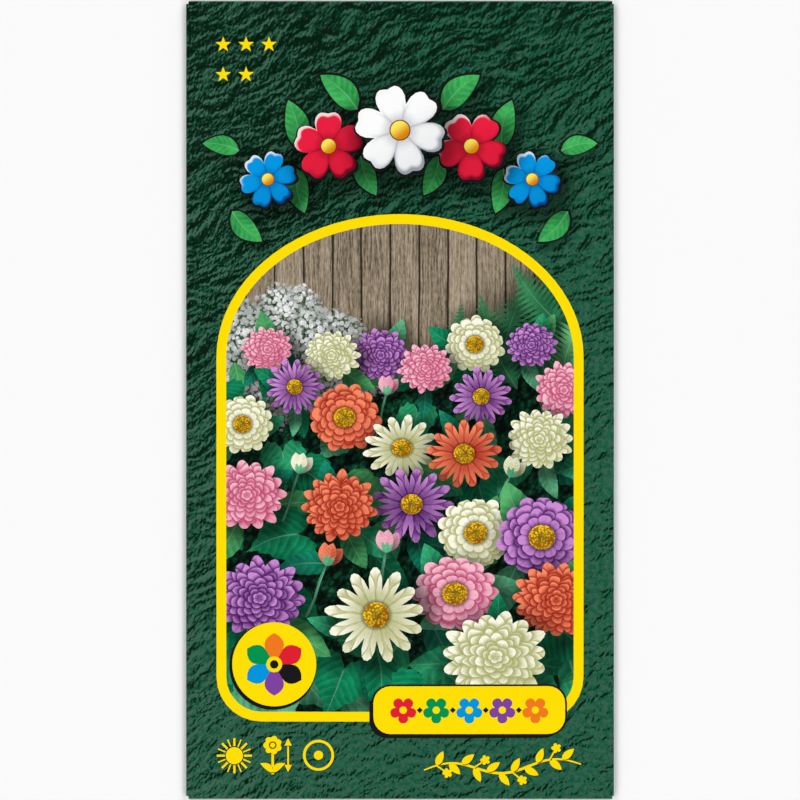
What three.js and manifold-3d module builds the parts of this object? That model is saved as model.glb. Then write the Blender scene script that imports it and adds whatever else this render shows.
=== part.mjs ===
// A packet of flower seed, lying on its back with the printed side up.
//
// One die-cut sheet of coated paper makes the packet. Its front panel has four wings, and each is folded
// behind it: the back panel from the left edge, a narrow seam flap from the right edge, and a closing flap
// from each end. Three lines of glue hold the wings: one between the seam flap and the back panel, and one
// under each closing flap. Inside lies a heat-sealed sachet of two films with the loose seed in it, and
// the front panel is domed over it.
//
// Units are millimetres. X runs across the packet, Y towards its top edge, and Z up, out of the printed
// front. The origin is in the middle of the underside, where the closing flaps meet the table.
import * as THREE from "three";
import { mergeVertices } from "three/addons/utils/BufferGeometryUtils.js";
import Module from "manifold-3d";

// Driving dimensions.
const PACKET = { width: 80.4, height: 150, paper: 0.2, glue: 0.1 };
const SEAM_FLAP = { width: 13, taper: 3.5 };
const BOTTOM_FLAP = { depth: 19, taper: 4.5 };
const TOP_FLAP = { depth: 22, taper: 4.5 };
const BACK_MARGIN = 1.5; // from the back panel's free edge to the packet's right edge
const INNER_ROOM = 0.2; // between the seam flap and the front panel, along the edges
const GLUE_INSET = 2.5; // from a glue line to the edges of the flap that it holds
const CROWN = { rise: 1.6, power: 2.3, overSeed: 0.9 }; // the dome of the front panel
const SACHET = { x: -2, y: -9, width: 54, height: 88, film: 0.15, seal: 4 };
const POUCH = { rise: 0.5, power: 3.4, overSeed: 1.8 }; // the dome of the sachet's upper film
const HEAP = { x: -2, y: -24, halfWidth: 11.6, halfHeight: 5.2, draw: 20 }; // the oval that the seed fills
const DRAPE = { halfWidth: 20, halfHeight: 13, panelSpread: 1.35 }; // the bump that the seed lifts over it
const SEED = { length: 3.1, width: 2.2, thick: 1.5, pitchX: 2.6, pitchY: 1.8, lift: 0.05 };
const SEED_SWING = { tilt: 0.1, turn: 0.6 }; // how far each seed lies off level and off straight, in radians

// Levels of each layer's middle, from the underside up.
const { paper, glue } = PACKET;
const FLAP_Z = paper / 2;
const BACK_Z = paper + glue + paper / 2;
const SEAM_Z = BACK_Z + paper + glue;
const FRONT_Z = SEAM_Z + paper + INNER_ROOM;
const INSIDE_FLOOR = BACK_Z + paper / 2; // the back panel's inner face

// Where the front panel ends and each fold starts. Each wing is as long as the edge that it's folded from, so
// the sheet is cut right into the packet's corners.
const halfWidth = PACKET.width / 2;
const halfHeight = PACKET.height / 2;
const foldRadius = (below) => (FRONT_Z - below) / 2;
const frontLeft = -(halfWidth - paper / 2 - foldRadius(BACK_Z));
const frontRight = halfWidth - paper / 2 - foldRadius(SEAM_Z);
const frontEnd = halfHeight - paper / 2 - foldRadius(FLAP_Z);

// How finely the curved surfaces are divided.
const FRONT_COLUMNS = 18;
const FRONT_ROWS = 28;
const FOLD_STEPS = 4;
const FILM_COLUMNS = 12;
const FILM_ROWS = 16;
const SEED_SIDES = 6;
const SEED_RINGS = 4;

// Numbers from a to b in equal parts.
const spread = (a, b, parts) => Array.from({ length: parts + 1 }, (_, i) => a + ((b - a) * i) / parts);

// 1 in the middle of a span, falling to 0 at its ends, where t is -1 and 1.
const fade = (t, power) => (Math.abs(t) >= 1 ? 0 : 1 - Math.abs(t) ** power);

// 1 over the heap of seed, falling to 0 round it.
function drape(x, y, spreadOut) {
  const across = (x - HEAP.x) / (DRAPE.halfWidth * spreadOut);
  const along = (y - HEAP.y) / (DRAPE.halfHeight * spreadOut);
  return 1 / (1 + (across ** 2 + along ** 2) ** 3);
}

// How far the front panel stands above the level of its edges.
function crown(x, y) {
  const edge = x < 0 ? -frontLeft : frontRight;
  const rise = CROWN.rise + CROWN.overSeed * drape(x, y, DRAPE.panelSpread);
  return fade(x / edge, CROWN.power) * fade(y / frontEnd, CROWN.power) * rise;
}

// A sheet of even thickness as one closed solid. Each patch is a grid of the sheet's middle surface: rows of
// {at, out}, a point and the direction in which the sheet's outer side faces there. Patches join where the
// points on their borders coincide.
function sheetSolid(patches, thickness) {
  const index = new Map();
  const corners = [];
  const vertexOf = ({ at, out }) => {
    const key = at.toArray().map((c) => Math.round(c * 1e4)).join();
    if (!index.has(key)) {
      index.set(key, corners.length / 6);
      const half = out.clone().multiplyScalar(thickness / 2);
      corners.push(...at.clone().add(half).toArray(), ...at.clone().sub(half).toArray());
    }
    return index.get(key);
  };
  const outer = (v) => 2 * v;
  const inner = (v) => 2 * v + 1;
  const triangles = [];
  const edges = new Map();
  const addTriangle = (ring) => {
    triangles.push(...ring.map(outer), ...ring.map(inner).reverse());
    ring.forEach((a, i) => {
      const b = ring[(i + 1) % 3];
      if (!edges.delete(`${b},${a}`)) edges.set(`${a},${b}`, [a, b]);
    });
  };
  for (const rows of patches) {
    for (let r = 0; r + 1 < rows.length; r++) {
      for (let c = 0; c + 1 < rows[r].length; c++) {
        const cell = [rows[r][c], rows[r][c + 1], rows[r + 1][c + 1], rows[r + 1][c]];
        const side = cell[1].at.clone().sub(cell[0].at);
        const up = cell[3].at.clone().sub(cell[0].at);
        if (side.cross(up).dot(cell[0].out) < 0) cell.reverse();
        const [p, q, s, t] = cell.map(vertexOf);
        addTriangle([p, q, s]);
        addTriangle([p, s, t]);
      }
    }
  }
  for (const [a, b] of edges.values()) {
    triangles.push(outer(a), inner(a), inner(b), outer(a), inner(b), outer(b));
  }
  const geometry = new THREE.BufferGeometry();
  geometry.setAttribute("position", new THREE.Float32BufferAttribute(corners, 3));
  geometry.setIndex(triangles);
  return geometry;
}

const DOWN = new THREE.Vector3(0, 0, -1);
const UP = new THREE.Vector3(0, 0, 1);

// A fold of the front panel's edge through half a turn, and the flat wing that follows it underneath.
// `place(along, reach, z)` puts a point at a distance out from the panel's middle, and `lines` are the
// distances along the fold. The wing runs back inwards by `depth` and narrows by `taper` at each end.
function foldedWing({ place, lines, start, level, depth, taper }) {
  const radius = foldRadius(level);
  const middle = (FRONT_Z + level) / 2;
  const fold = spread(0, Math.PI, FOLD_STEPS).map((angle) => {
    const outwards = place(0, Math.sin(angle), Math.cos(angle));
    return lines.map((along) => ({
      at: place(along, start + radius * Math.sin(angle), middle + radius * Math.cos(angle)),
      out: outwards,
    }));
  });
  const half = lines[lines.length - 1];
  const wing = [0, 1].map((share) =>
    lines.map((along) => ({
      at: place(along * (1 - (share * taper) / half), start - share * depth, level),
      out: DOWN,
    })),
  );
  return [fold, wing];
}

// The whole packet: the domed front panel and its four wings, as one folded sheet.
function packetSheet() {
  const columns = spread(frontLeft, frontRight, FRONT_COLUMNS);
  const rows = spread(-frontEnd, frontEnd, FRONT_ROWS);
  const front = rows.map((y) =>
    columns.map((x) => ({ at: new THREE.Vector3(x, y, FRONT_Z + crown(x, y)), out: UP })),
  );
  const back = foldedWing({
    place: (along, reach, z) => new THREE.Vector3(-reach, along, z),
    lines: rows,
    start: -frontLeft,
    level: BACK_Z,
    depth: -frontLeft + halfWidth - BACK_MARGIN,
    taper: 0,
  });
  const seam = foldedWing({
    place: (along, reach, z) => new THREE.Vector3(reach, along, z),
    lines: rows,
    start: frontRight,
    level: SEAM_Z,
    depth: SEAM_FLAP.width,
    taper: SEAM_FLAP.taper,
  });
  const bottom = foldedWing({
    place: (along, reach, z) => new THREE.Vector3(along, -reach, z),
    lines: columns,
    start: frontEnd,
    level: FLAP_Z,
    depth: BOTTOM_FLAP.depth,
    taper: BOTTOM_FLAP.taper,
  });
  const top = foldedWing({
    place: (along, reach, z) => new THREE.Vector3(along, reach, z),
    lines: columns,
    start: frontEnd,
    level: FLAP_Z,
    depth: TOP_FLAP.depth,
    taper: TOP_FLAP.taper,
  });
  return sheetSolid([front, ...back, ...seam, ...bottom, ...top], paper);
}

// A flat slab between two levels, with corners given in order round its outline.
function slab(outline, low, high) {
  const shape = new THREE.Shape(outline.map(([x, y]) => new THREE.Vector2(x, y)));
  return new THREE.ExtrudeGeometry(shape, { depth: high - low, bevelEnabled: false }).translate(0, 0, low);
}

// The glue line between the seam flap and the back panel.
function seamGlue() {
  const outerX = Math.min(frontRight, halfWidth - BACK_MARGIN) - GLUE_INSET;
  const innerX = frontRight - SEAM_FLAP.width + GLUE_INSET;
  const end = frontEnd - SEAM_FLAP.taper - GLUE_INSET;
  const outline = [[innerX, -end], [outerX, -end], [outerX, end], [innerX, end]];
  return slab(outline, BACK_Z + paper / 2, SEAM_Z - paper / 2);
}

// The glue line between a closing flap and the back panel. `side` is -1 at the bottom and 1 at the top.
function flapGlue(flap, side) {
  const outer = side * (frontEnd - GLUE_INSET);
  const inner = side * (frontEnd - flap.depth + GLUE_INSET);
  const end = Math.min(-frontLeft - flap.taper, halfWidth - BACK_MARGIN) - GLUE_INSET;
  const [low, high] = [outer, inner].sort((a, b) => a - b);
  return slab([[-end, low], [end, low], [end, high], [-end, high]], FLAP_Z + paper / 2, BACK_Z - paper / 2);
}

// The sachet's lower film lies flat on the back panel.
function lowerFilm() {
  const [w, h] = [SACHET.width / 2, SACHET.height / 2];
  const outline = [[-w, -h], [w, -h], [w, h], [-w, h]].map(([x, y]) => [x + SACHET.x, y + SACHET.y]);
  return slab(outline, INSIDE_FLOOR, INSIDE_FLOOR + SACHET.film);
}

// The sachet's upper film meets the lower one in a flat seal all round, and is domed over the seed.
function upperFilm() {
  const [w, h] = [SACHET.width / 2, SACHET.height / 2];
  const [bagW, bagH] = [w - SACHET.seal, h - SACHET.seal];
  const xs = [-w, ...spread(-bagW, bagW, FILM_COLUMNS), w];
  const ys = [-h, ...spread(-bagH, bagH, FILM_ROWS), h];
  const level = INSIDE_FLOOR + SACHET.film * 1.5;
  const rise = (x, y) =>
    fade(x / bagW, POUCH.power) *
    fade(y / bagH, POUCH.power) *
    (POUCH.rise + POUCH.overSeed * drape(x + SACHET.x, y + SACHET.y, 1));
  const rows = ys.map((y) =>
    xs.map((x) => ({ at: new THREE.Vector3(x + SACHET.x, y + SACHET.y, level + rise(x, y)), out: UP })),
  );
  return sheetSolid([rows], SACHET.film);
}

// The same draws each time, from 0 to 1.
function seededRandom(state) {
  return () => {
    state = (Math.imul(state, 1664525) + 1013904223) >>> 0;
    return state / 2 ** 32;
  };
}

const wasm = await Module();
wasm.setup();

// A closed mesh as a solid that can be joined to others.
function solidOf(geometry) {
  const plain = geometry.clone().deleteAttribute("normal").deleteAttribute("uv");
  const merged = mergeVertices(plain);
  return new wasm.Manifold(
    new wasm.Mesh({
      numProp: 3,
      vertProperties: merged.attributes.position.array,
      triVerts: new Uint32Array(merged.index.array),
    }),
  );
}

function geometryOf(solid) {
  const { vertProperties, triVerts } = solid.getMesh();
  const geometry = new THREE.BufferGeometry();
  geometry.setAttribute("position", new THREE.BufferAttribute(vertProperties, 3));
  geometry.setIndex(new THREE.BufferAttribute(triVerts, 1));
  return geometry;
}

// The seed in one layer of nutlets, each pressed into its neighbours, so that the heap is one body.
function seedHeap() {
  const random = seededRandom(HEAP.draw);
  const floor = INSIDE_FLOOR + SACHET.film + SEED.lift;
  const rows = Math.floor(HEAP.halfHeight / SEED.pitchY);
  const columns = Math.floor(HEAP.halfWidth / SEED.pitchX);
  let heap = null;
  for (let row = -rows; row <= rows; row++) {
    for (let column = -columns; column <= columns; column++) {
      const x = (column + (row % 2 ? 0.5 : 0)) * SEED.pitchX;
      const y = row * SEED.pitchY;
      const turn = (random() - 0.5) * SEED_SWING.turn;
      const tilt = (random() - 0.5) * SEED_SWING.tilt;
      if ((x / HEAP.halfWidth) ** 2 + (y / HEAP.halfHeight) ** 2 > 1) continue;
      const nutlet = new THREE.SphereGeometry(0.5, SEED_SIDES, SEED_RINGS)
        .rotateX(Math.PI / 2)
        .scale(SEED.length, SEED.width, SEED.thick)
        .rotateY(tilt)
        .rotateZ(turn)
        .translate(HEAP.x + x, HEAP.y + y, floor + SEED.thick / 2);
      const solid = solidOf(nutlet);
      heap = heap ? heap.add(solid) : solid;
    }
  }
  return geometryOf(heap);
}

// Each finish is shaded flat, so that folds and edges stay crisp.
const finish = (color, roughness) =>
  new THREE.MeshStandardMaterial({ color, roughness, metalness: 0, flatShading: true });
const coatedPaper = finish(0x1d5a40, 0.42);
const driedGlue = finish(0xe4ddc8, 0.5);
const glassine = finish(0xe9e6da, 0.4);
const seedCoat = finish(0x3a2618, 0.7);

const packet = new THREE.Group();
const add = (name, geometry, material) => {
  const mesh = new THREE.Mesh(geometry, material);
  mesh.name = name;
  packet.add(mesh);
};
add("paper_envelope", packetSheet(), coatedPaper);
add("seam_glue", seamGlue(), driedGlue);
add("bottom_flap_glue", flapGlue(BOTTOM_FLAP, -1), driedGlue);
add("top_flap_glue", flapGlue(TOP_FLAP, 1), driedGlue);
add("sachet_lower_film", lowerFilm(), glassine);
add("sachet_upper_film", upperFilm(), glassine);
add("seed_heap", seedHeap(), seedCoat);

export default packet;
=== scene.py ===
"""A packet of flower seed: its folded and printed sheet, its glue, and the sachet of seed inside it.

The sheet is laid out flat first. U runs across the printed front and V up it, in millimetres from its
middle, and the wings that fold behind it carry on past its edges. Printed shapes are outlines on that
flat sheet. They are cut into its outer face, so that each ink is a part of the paper's own surface, and
then the whole sheet is folded.
"""

import math
import random

import bpy
import numpy as np
from mathutils import Matrix, Vector
from mathutils.geometry import delaunay_2d_cdt


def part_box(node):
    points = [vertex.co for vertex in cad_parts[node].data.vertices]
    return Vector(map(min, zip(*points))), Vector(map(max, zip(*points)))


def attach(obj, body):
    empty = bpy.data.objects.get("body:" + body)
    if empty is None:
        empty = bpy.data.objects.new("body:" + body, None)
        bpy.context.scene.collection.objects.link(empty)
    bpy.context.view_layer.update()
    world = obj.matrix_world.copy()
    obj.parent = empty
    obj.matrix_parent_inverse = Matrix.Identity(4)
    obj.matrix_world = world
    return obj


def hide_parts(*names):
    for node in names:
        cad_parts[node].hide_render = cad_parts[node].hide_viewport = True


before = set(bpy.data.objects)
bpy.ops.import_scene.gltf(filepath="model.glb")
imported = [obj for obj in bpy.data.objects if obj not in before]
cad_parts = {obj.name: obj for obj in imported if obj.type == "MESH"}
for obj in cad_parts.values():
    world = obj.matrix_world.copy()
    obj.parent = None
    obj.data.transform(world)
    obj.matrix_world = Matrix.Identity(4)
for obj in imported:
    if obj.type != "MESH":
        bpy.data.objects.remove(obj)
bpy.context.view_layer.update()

MM = 0.001
TAU = 2 * math.pi

# Sizes in millimetres, as in the part's own source.
low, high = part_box("paper_envelope")
WIDTH, HEIGHT = (round(span / MM, 3) for span in (high - low).xy)
PAPER, GLUE = 0.2, 0.1
BACK_MARGIN = 1.5
INNER_ROOM = 0.2
SEAM_FLAP, SEAM_TAPER = 13.0, 3.5
BOTTOM_FLAP, TOP_FLAP, FLAP_TAPER = 19.0, 22.0, 4.5
CROWN_RISE, CROWN_POWER, CROWN_OVER_SEED = 1.6, 2.3, 0.9
HEAP = (-2.0, -24.0)
DRAPE = (20.0, 13.0)
PANEL_SPREAD = 1.35

# Levels of each layer's middle.
FLAP_Z = PAPER / 2
BACK_Z = PAPER + GLUE + PAPER / 2
SEAM_Z = BACK_Z + PAPER + GLUE
FRONT_Z = SEAM_Z + PAPER + INNER_ROOM

# The folds' radii, and where the front ends at each.
BACK_R, SEAM_R, FLAP_R = ((FRONT_Z - z) / 2 for z in (BACK_Z, SEAM_Z, FLAP_Z))
LEFT = round(WIDTH / 2 - PAPER / 2 - BACK_R, 3)
RIGHT = round(WIDTH / 2 - PAPER / 2 - SEAM_R, 3)
END = round(HEIGHT / 2 - PAPER / 2 - FLAP_R, 3)


# ---------------------------------------------------------------- the folded sheet


def fade(t, power):
    """1 in the middle of a span and 0 at its ends, where t is -1 and 1."""
    return np.clip(1 - np.abs(t) ** power, 0, 1)


def drape(u, v, spread):
    """1 over the heap of seed, falling to 0 round it."""
    across = (u - HEAP[0]) / (DRAPE[0] * spread)
    along = (v - HEAP[1]) / (DRAPE[1] * spread)
    return 1 / (1 + (across**2 + along**2) ** 3)


def lift(u, v):
    """How far the front stands above its edges: a dome over the sachet, with soft buckles."""
    edge = np.where(u < 0, LEFT, RIGHT)
    held = fade(u / edge, CROWN_POWER) * fade(v / END, CROWN_POWER)
    dome = held * (CROWN_RISE + CROWN_OVER_SEED * drape(u, v, PANEL_SPREAD))
    side = np.clip(edge - np.abs(u), 0, None)
    end = np.clip(END - np.abs(v), 0, None)
    sides = np.sin(v / 5.3 + 1.1 * np.sin(v / 11 + np.sign(u))) * side * np.exp(-side / 4.5)
    ends = np.sin(u / 4.7 + 0.9 * np.sin(u / 9 + np.sign(v))) * end * np.exp(-end / 5.5)
    slack = np.sin(0.13 * u + 0.09 * v + 0.6) * np.sin(0.05 * u - 0.16 * v)
    return dome + held**0.25 * (0.022 * sides + 0.02 * ends) + 0.09 * held * slack


WINGS = (  # axis, side of the front, where the front ends, the wing's level
    (0, -1, LEFT, BACK_Z),
    (0, 1, RIGHT, SEAM_Z),
    (1, -1, END, FLAP_Z),
    (1, 1, END, FLAP_Z),
)


def folded(flat, height):
    """Folded places and facings of flat points, at a height above the sheet's middle, in millimetres."""
    u, v = flat.T
    step = 0.05
    slope_u = (lift(u + step, v) - lift(u - step, v)) / (2 * step)
    slope_v = (lift(u, v + step) - lift(u, v - step)) / (2 * step)
    place = np.stack([u, v, FRONT_Z + lift(u, v)], 1)
    facing = np.stack([-slope_u, -slope_v, np.ones_like(u)], 1)
    for axis, side, edge, level in WINGS:
        past = side * flat[:, axis] - edge
        on = past > 1e-4
        radius = (FRONT_Z - level) / 2
        turn = np.clip(past[on] / radius, 0, math.pi)
        beyond = np.clip(past[on] - math.pi * radius, 0, None)
        place[on, axis] = side * (edge + radius * np.sin(turn) - beyond)
        place[on, 2] = (FRONT_Z + level) / 2 + radius * np.cos(turn)
        facing[on] = 0
        facing[on, axis] = side * np.sin(turn)
        facing[on, 2] = np.cos(turn)
    facing /= np.linalg.norm(facing, axis=1)[:, None]
    return place + facing * height, facing


# ---------------------------------------------------------------- outlines


def turning(turn):
    """The matrix that turns a place about the origin."""
    cos, sin = math.cos(turn), math.sin(turn)
    return np.array([[cos, -sin], [sin, cos]])


def heading(turn, reach=1.0):
    """The place at a distance from the origin in a direction."""
    return reach * np.array([math.cos(turn), math.sin(turn)])


def ring_of(angle, radius):
    """Points round the origin, each at its own angle and radius."""
    return np.stack([np.cos(angle), np.sin(angle)], 1) * radius[:, None]


def round_outline(count, radius=np.ones_like):
    """An even ring of points, at a radius that may depend on the angle."""
    angle = np.arange(count) * TAU / count
    return ring_of(angle, radius(angle))


NOTCH_HALF = 0.22  # of the notch in a petal's tip, where 1 is the gap between petals


def flower(petals, dip, power, steps=6, notch=0.0, lengths=None):
    """A flower's edge: petals that narrow to their tips, and may be notched or of uneven lengths."""
    lengths = np.ones(petals) if lengths is None else lengths

    def radius(angle):
        turns = petals * angle / TAU
        gap = np.abs(2 * (turns % 1) - 1)
        own = 1 + (lengths[(turns + 1e-9).astype(int) % petals] - 1) * (1 - gap)
        return own * (1 - dip * gap**power) - notch * np.exp(-((gap / NOTCH_HALF) ** 2))

    return round_outline(steps * petals, radius)


def star(points=5, waist=0.4):
    """A star with one point up."""
    number = np.arange(2 * points)
    return ring_of(number * math.pi / points + math.pi / 2, np.where(number % 2, waist, 1.0))


def box_outline(width, height, corner=0.0, steps=7):
    """A rectangle about the origin, with round corners if it has any."""
    turns = np.linspace(0, math.pi / 2, steps if corner else 1)
    parts = []
    for quarter, (sx, sy) in enumerate([(1, 1), (-1, 1), (-1, -1), (1, -1)]):
        middle = np.array([sx * (width / 2 - corner), sy * (height / 2 - corner)])
        parts.append(middle + ring_of(turns + quarter * math.pi / 2, np.full(len(turns), corner)))
    return np.concatenate(parts)


def both_edges(x, half):
    """An outline from its lower edge to its upper one, which meet at the ends."""
    return np.concatenate([np.stack([x, -half], 1), np.stack([x, half], 1)[-2:0:-1]])


def stroke(points, width, taper=0.0):
    """A line of a given width along points, thinner at its ends by taper, from 0 to 1."""
    points = np.asarray(points, float)
    along = np.gradient(points, axis=0)
    across = np.stack([-along[:, 1], along[:, 0]], 1) / np.linalg.norm(along, axis=1)[:, None]
    share = np.linspace(-1, 1, len(points))
    half = width / 2 * (1 - taper * share**2)[:, None]
    return np.concatenate([points - across * half, (points + across * half)[::-1]])


def bent(outline, bend):
    """A leaf's outline with its rib curved sideways between its ends."""
    along = np.clip(outline[:, 0], 0, 1)
    return outline + np.stack([0 * along, bend * np.sin(math.pi * along)], 1)


def blade(width, steps=8, belly=0.8, teeth=0.0):
    """A leaf from its stalk at (0, 0) to its tip at (1, 0), with teeth along its edge if it has any."""
    t = np.linspace(0, 1, steps + 1)
    half = width / 2 * np.sin(math.pi * t**belly) ** 0.8
    return both_edges(t, half * (1 + teeth * (np.arange(steps + 1) % 2)))


def fern(width=0.3, leaflets=19):
    """A fern's frond from (0, 0) to (1, 0), with leaflets that lean towards its tip."""
    t = np.linspace(0, 1, 2 * leaflets + 1)
    out = np.arange(2 * leaflets + 1) % 2
    half = width * np.sin(math.pi * t**0.7) * (1.1 - 0.3 * t) * (0.1 + 0.9 * out)
    return both_edges(t + 0.1 * out * (1 - t), half)


def heart_leaf(teeth=20, depth=0.05):
    """A broad heart-shaped leaf with a toothed edge, from its stalk at (0, 0) to its tip at (1, 0)."""
    count = 3 * teeth
    t = (np.arange(count) + 0.5) / count * TAU
    along = (13 * np.cos(t) - 5 * np.cos(2 * t) - 2 * np.cos(3 * t) - np.cos(4 * t)) / 16
    points = np.stack([0.36 - 0.6 * along, -0.47 * np.sin(t) ** 3], 1)
    tooth = 1 + depth * (1 - (np.arange(count) % 3))
    middle = np.array([0.4, 0.0])
    return middle + (points - middle) * tooth[:, None]


def area(outline):
    """The area that an outline holds, less than 0 where its points run clockwise."""
    x, y = outline.T
    return float(np.sum(x * np.roll(y, -1) - np.roll(x, -1) * y)) / 2


def clipped(outline, hull):
    """The part of an outline that lies in a convex hull, whose points run anticlockwise."""
    for a, b in zip(hull, np.roll(hull, -1, axis=0)):
        edge = b - a
        side = edge[0] * (outline[:, 1] - a[1]) - edge[1] * (outline[:, 0] - a[0])
        if np.all(side >= 0):
            continue
        kept = []
        for k in range(len(outline)):
            before, here = side[k - 1], side[k]
            if before * here < 0:
                kept.append(outline[k - 1] + (outline[k] - outline[k - 1]) * before / (before - here))
            if here >= 0:
                kept.append(outline[k])
        if len(kept) < 3:
            return np.zeros((0, 2))
        outline = np.array(kept)
    return outline


def finely(outline, gap=2.0):
    """An outline with more points along its long edges."""
    points = []
    for a, b in zip(outline, np.roll(outline, -1, axis=0)):
        count = max(1, math.ceil(np.linalg.norm(b - a) / gap))
        points.extend(a + (b - a) * k / count for k in range(count))
    return np.array(points)


# ---------------------------------------------------------------- colours


def ink(red, green, blue):
    """A printed colour, given as 0 to 255, as linear numbers."""
    c = np.array([red, green, blue]) / 255
    return tuple(np.where(c <= 0.04045, c / 12.92, ((c + 0.055) / 1.055) ** 2.4))


YELLOW = ink(253, 222, 0)
BLACK = ink(24, 22, 26)
WHITE = ink(248, 248, 246)
CREAM = ink(246, 238, 208)
SOLID_RED, SOLID_GREEN = ink(222, 32, 48), ink(0, 146, 78)
SOLID_BLUE, SOLID_VIOLET, SOLID_ORANGE = ink(0, 148, 218), ink(126, 66, 158), ink(240, 120, 30)

# The light and dark colours of the picture's flowers: violet, cream, coral and rose.
PETALS = (
    (ink(206, 140, 214), ink(74, 22, 96)),
    (ink(252, 250, 228), ink(168, 172, 104)),
    (ink(252, 138, 100), ink(160, 36, 22)),
    (ink(252, 190, 208), ink(190, 70, 112)),
)
# Each leaf's light and dark colour.
LEAVES = (
    (ink(112, 200, 150), ink(0, 98, 64)),
    (ink(52, 176, 120), ink(0, 82, 54)),
    (ink(14, 150, 100), ink(0, 60, 40)),
    (ink(92, 184, 110), ink(4, 94, 54)),
    (ink(16, 142, 108), ink(0, 58, 46)),
)
FERN_TONES = (
    (ink(112, 190, 122), ink(10, 88, 52)),
    (ink(60, 144, 92), ink(2, 66, 42)),
)
GARLAND_LEAF = (ink(70, 190, 96), ink(0, 92, 44))


# ---------------------------------------------------------------- printed shapes


LIT_FROM = np.array([-0.6, 0.8])  # where the artwork's light comes from
SHADOW_FALL = 1.5  # how far its shadows fall the other way, in millimetres
SHADOW_FULL, SHADOW_END = 0.85, 1.5  # where a shadow starts to fade and where it ends, in its ovals
EDGE_FALL = np.array([0.14, -0.14])  # how far the black edge of a yellow mark shows


class Shape:
    """One printed shape. Its outline and its pattern are drawn in a frame of its own."""

    def __init__(self, outline, ink, tones, at=(0, 0), size=1.0, turn=0.0, seed=0.0, squeeze=1.0):
        matrix = np.diag([1.0, squeeze]) @ turning(turn) * size
        self.inverse = np.linalg.inv(matrix)
        self.at, self.size, self.seed = np.array(at, float), size, seed
        self.outline = outline @ matrix.T + self.at
        self.ink = ink
        self.light, self.dark = tones
        self.framed = False
        self.cast = None

    def casting(self, strength, middle=(0.0, 0.0), reach=(1.0, 1.0)):
        """Makes the shape darken what is printed round and below it, about an oval in its own frame."""
        self.cast = strength, np.array(middle), np.array(reach)
        return self

    def local(self, flat):
        return (flat - self.at) @ self.inverse.T

    def lit(self, flat):
        """How far towards the light a place lies from the shape's middle."""
        return ((flat - self.at) / self.size) @ LIT_FROM

    def light_left(self, flat):
        """How much light the shape leaves round itself."""
        strength, middle, reach = self.cast
        place = self.local(flat + SHADOW_FALL * LIT_FROM)
        away = np.linalg.norm((place - middle) / reach, axis=1)
        near = np.clip((SHADOW_END - away) / (SHADOW_END - SHADOW_FULL), 0, 1)
        return 1 - strength * near * near * (3 - 2 * near)


def solid(outline, colour, at=(0, 0), size=1.0, turn=0.0):
    """A shape of one colour."""
    return Shape(outline, "plain", (colour, colour), at, size, turn)


def marked(outline, colour=YELLOW, at=(0, 0), size=1.0, turn=0.0):
    """A flat mark, with a thin black edge below and to the right of it where it's yellow."""
    edge = [solid(outline, BLACK, at + EDGE_FALL, size, turn)] if colour is YELLOW else []
    return edge + [solid(outline, colour, at, size, turn)]


# How each kind of flower is drawn: its rings of petals as (petals, radius, phase), how deep its petals
# are parted, how sharp their tips are, the size of its golden heart, and how unevenly its inner petals
# stand.
FLOWERS = {
    "dahlia": {
        "rings": (
            (15, 1.0, 0.0),
            (15, 0.87, 0.5),
            (13, 0.74, 0.15),
            (12, 0.61, 0.62),
            (10, 0.48, 0.3),
            (8, 0.36, 0.8),
            (6, 0.25, 0.1),
            (5, 0.14, 0.5),
        ),
        "dip": 0.22,
        "power": 1.8,
        "heart": 0.0,
        "wobble": 0.5,
    },
    "zinnia": {
        "rings": (
            (14, 1.0, 0.0),
            (13, 0.84, 0.5),
            (12, 0.68, 0.2),
            (10, 0.52, 0.7),
        ),
        "dip": 0.15,
        "power": 3.0,
        "heart": 0.3,
        "wobble": 0.4,
    },
    "daisy": {
        "rings": (
            (13, 1.0, 0.0),
            (13, 0.92, 0.5),
        ),
        "dip": 0.46,
        "power": 2.2,
        "heart": 0.27,
        "wobble": 0.15,
    },
}


# ---------------------------------------------------------------- the picture


WINDOW = {"half": 32.6, "bottom": -58.5, "shoulder": 8.0, "top": 33.0, "corner": 6.5}
FRAME_STROKE = 1.85


def window_outline(grow):
    """A window with an arched top and round corners below, made larger all round."""
    half, corner = WINDOW["half"] + grow, WINDOW["corner"] + grow
    rise = WINDOW["top"] + grow - WINDOW["shoulder"]
    turn = np.linspace(0, math.pi, 40)
    crown = np.stack([half * np.cos(turn), WINDOW["shoulder"] + rise * np.sin(turn)], 1)
    turn = np.linspace(0, math.pi / 2, 8)
    bottom = WINDOW["bottom"] - grow + corner * (1 - np.sin(turn))
    left = np.stack([corner - half - corner * np.cos(turn), bottom], 1)
    return np.concatenate([crown, left, (left * [-1, 1])[::-1]])


def leaf_at(draw, place, size, turn, kind="blade", tones=LEAVES):
    """A leaf with its stalk at a place."""
    own = draw.choice(tones)
    bend = draw.uniform(-0.09, 0.09)
    outline = heart_leaf() if kind == "heart" else blade(draw.uniform(0.4, 0.56), 12, 0.75, 0.07)
    leaf = Shape(bent(outline, bend), "leaf", own, place, size, turn, bend)
    return leaf.casting(0.5, (0.5, 0.0), (0.5, 0.44 if kind == "heart" else 0.24))


# Ferns behind the flowers: where each starts, how long it is, and which way it leans.
FERNS = (
    ((34, 6), 17, 1.75),
    ((27, 4), 21, 1.45),
    ((19, 6), 17, 1.25),
    ((33, 12), 18, 2.3),
    ((22, 2), 19, 1.95),
    ((30, 3), 17, 1.2),
    ((12, 5), 13, 1.6),
    ((-2, 6), 11, 1.9),
    ((35, 0), 14, 2.5),
)


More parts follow.
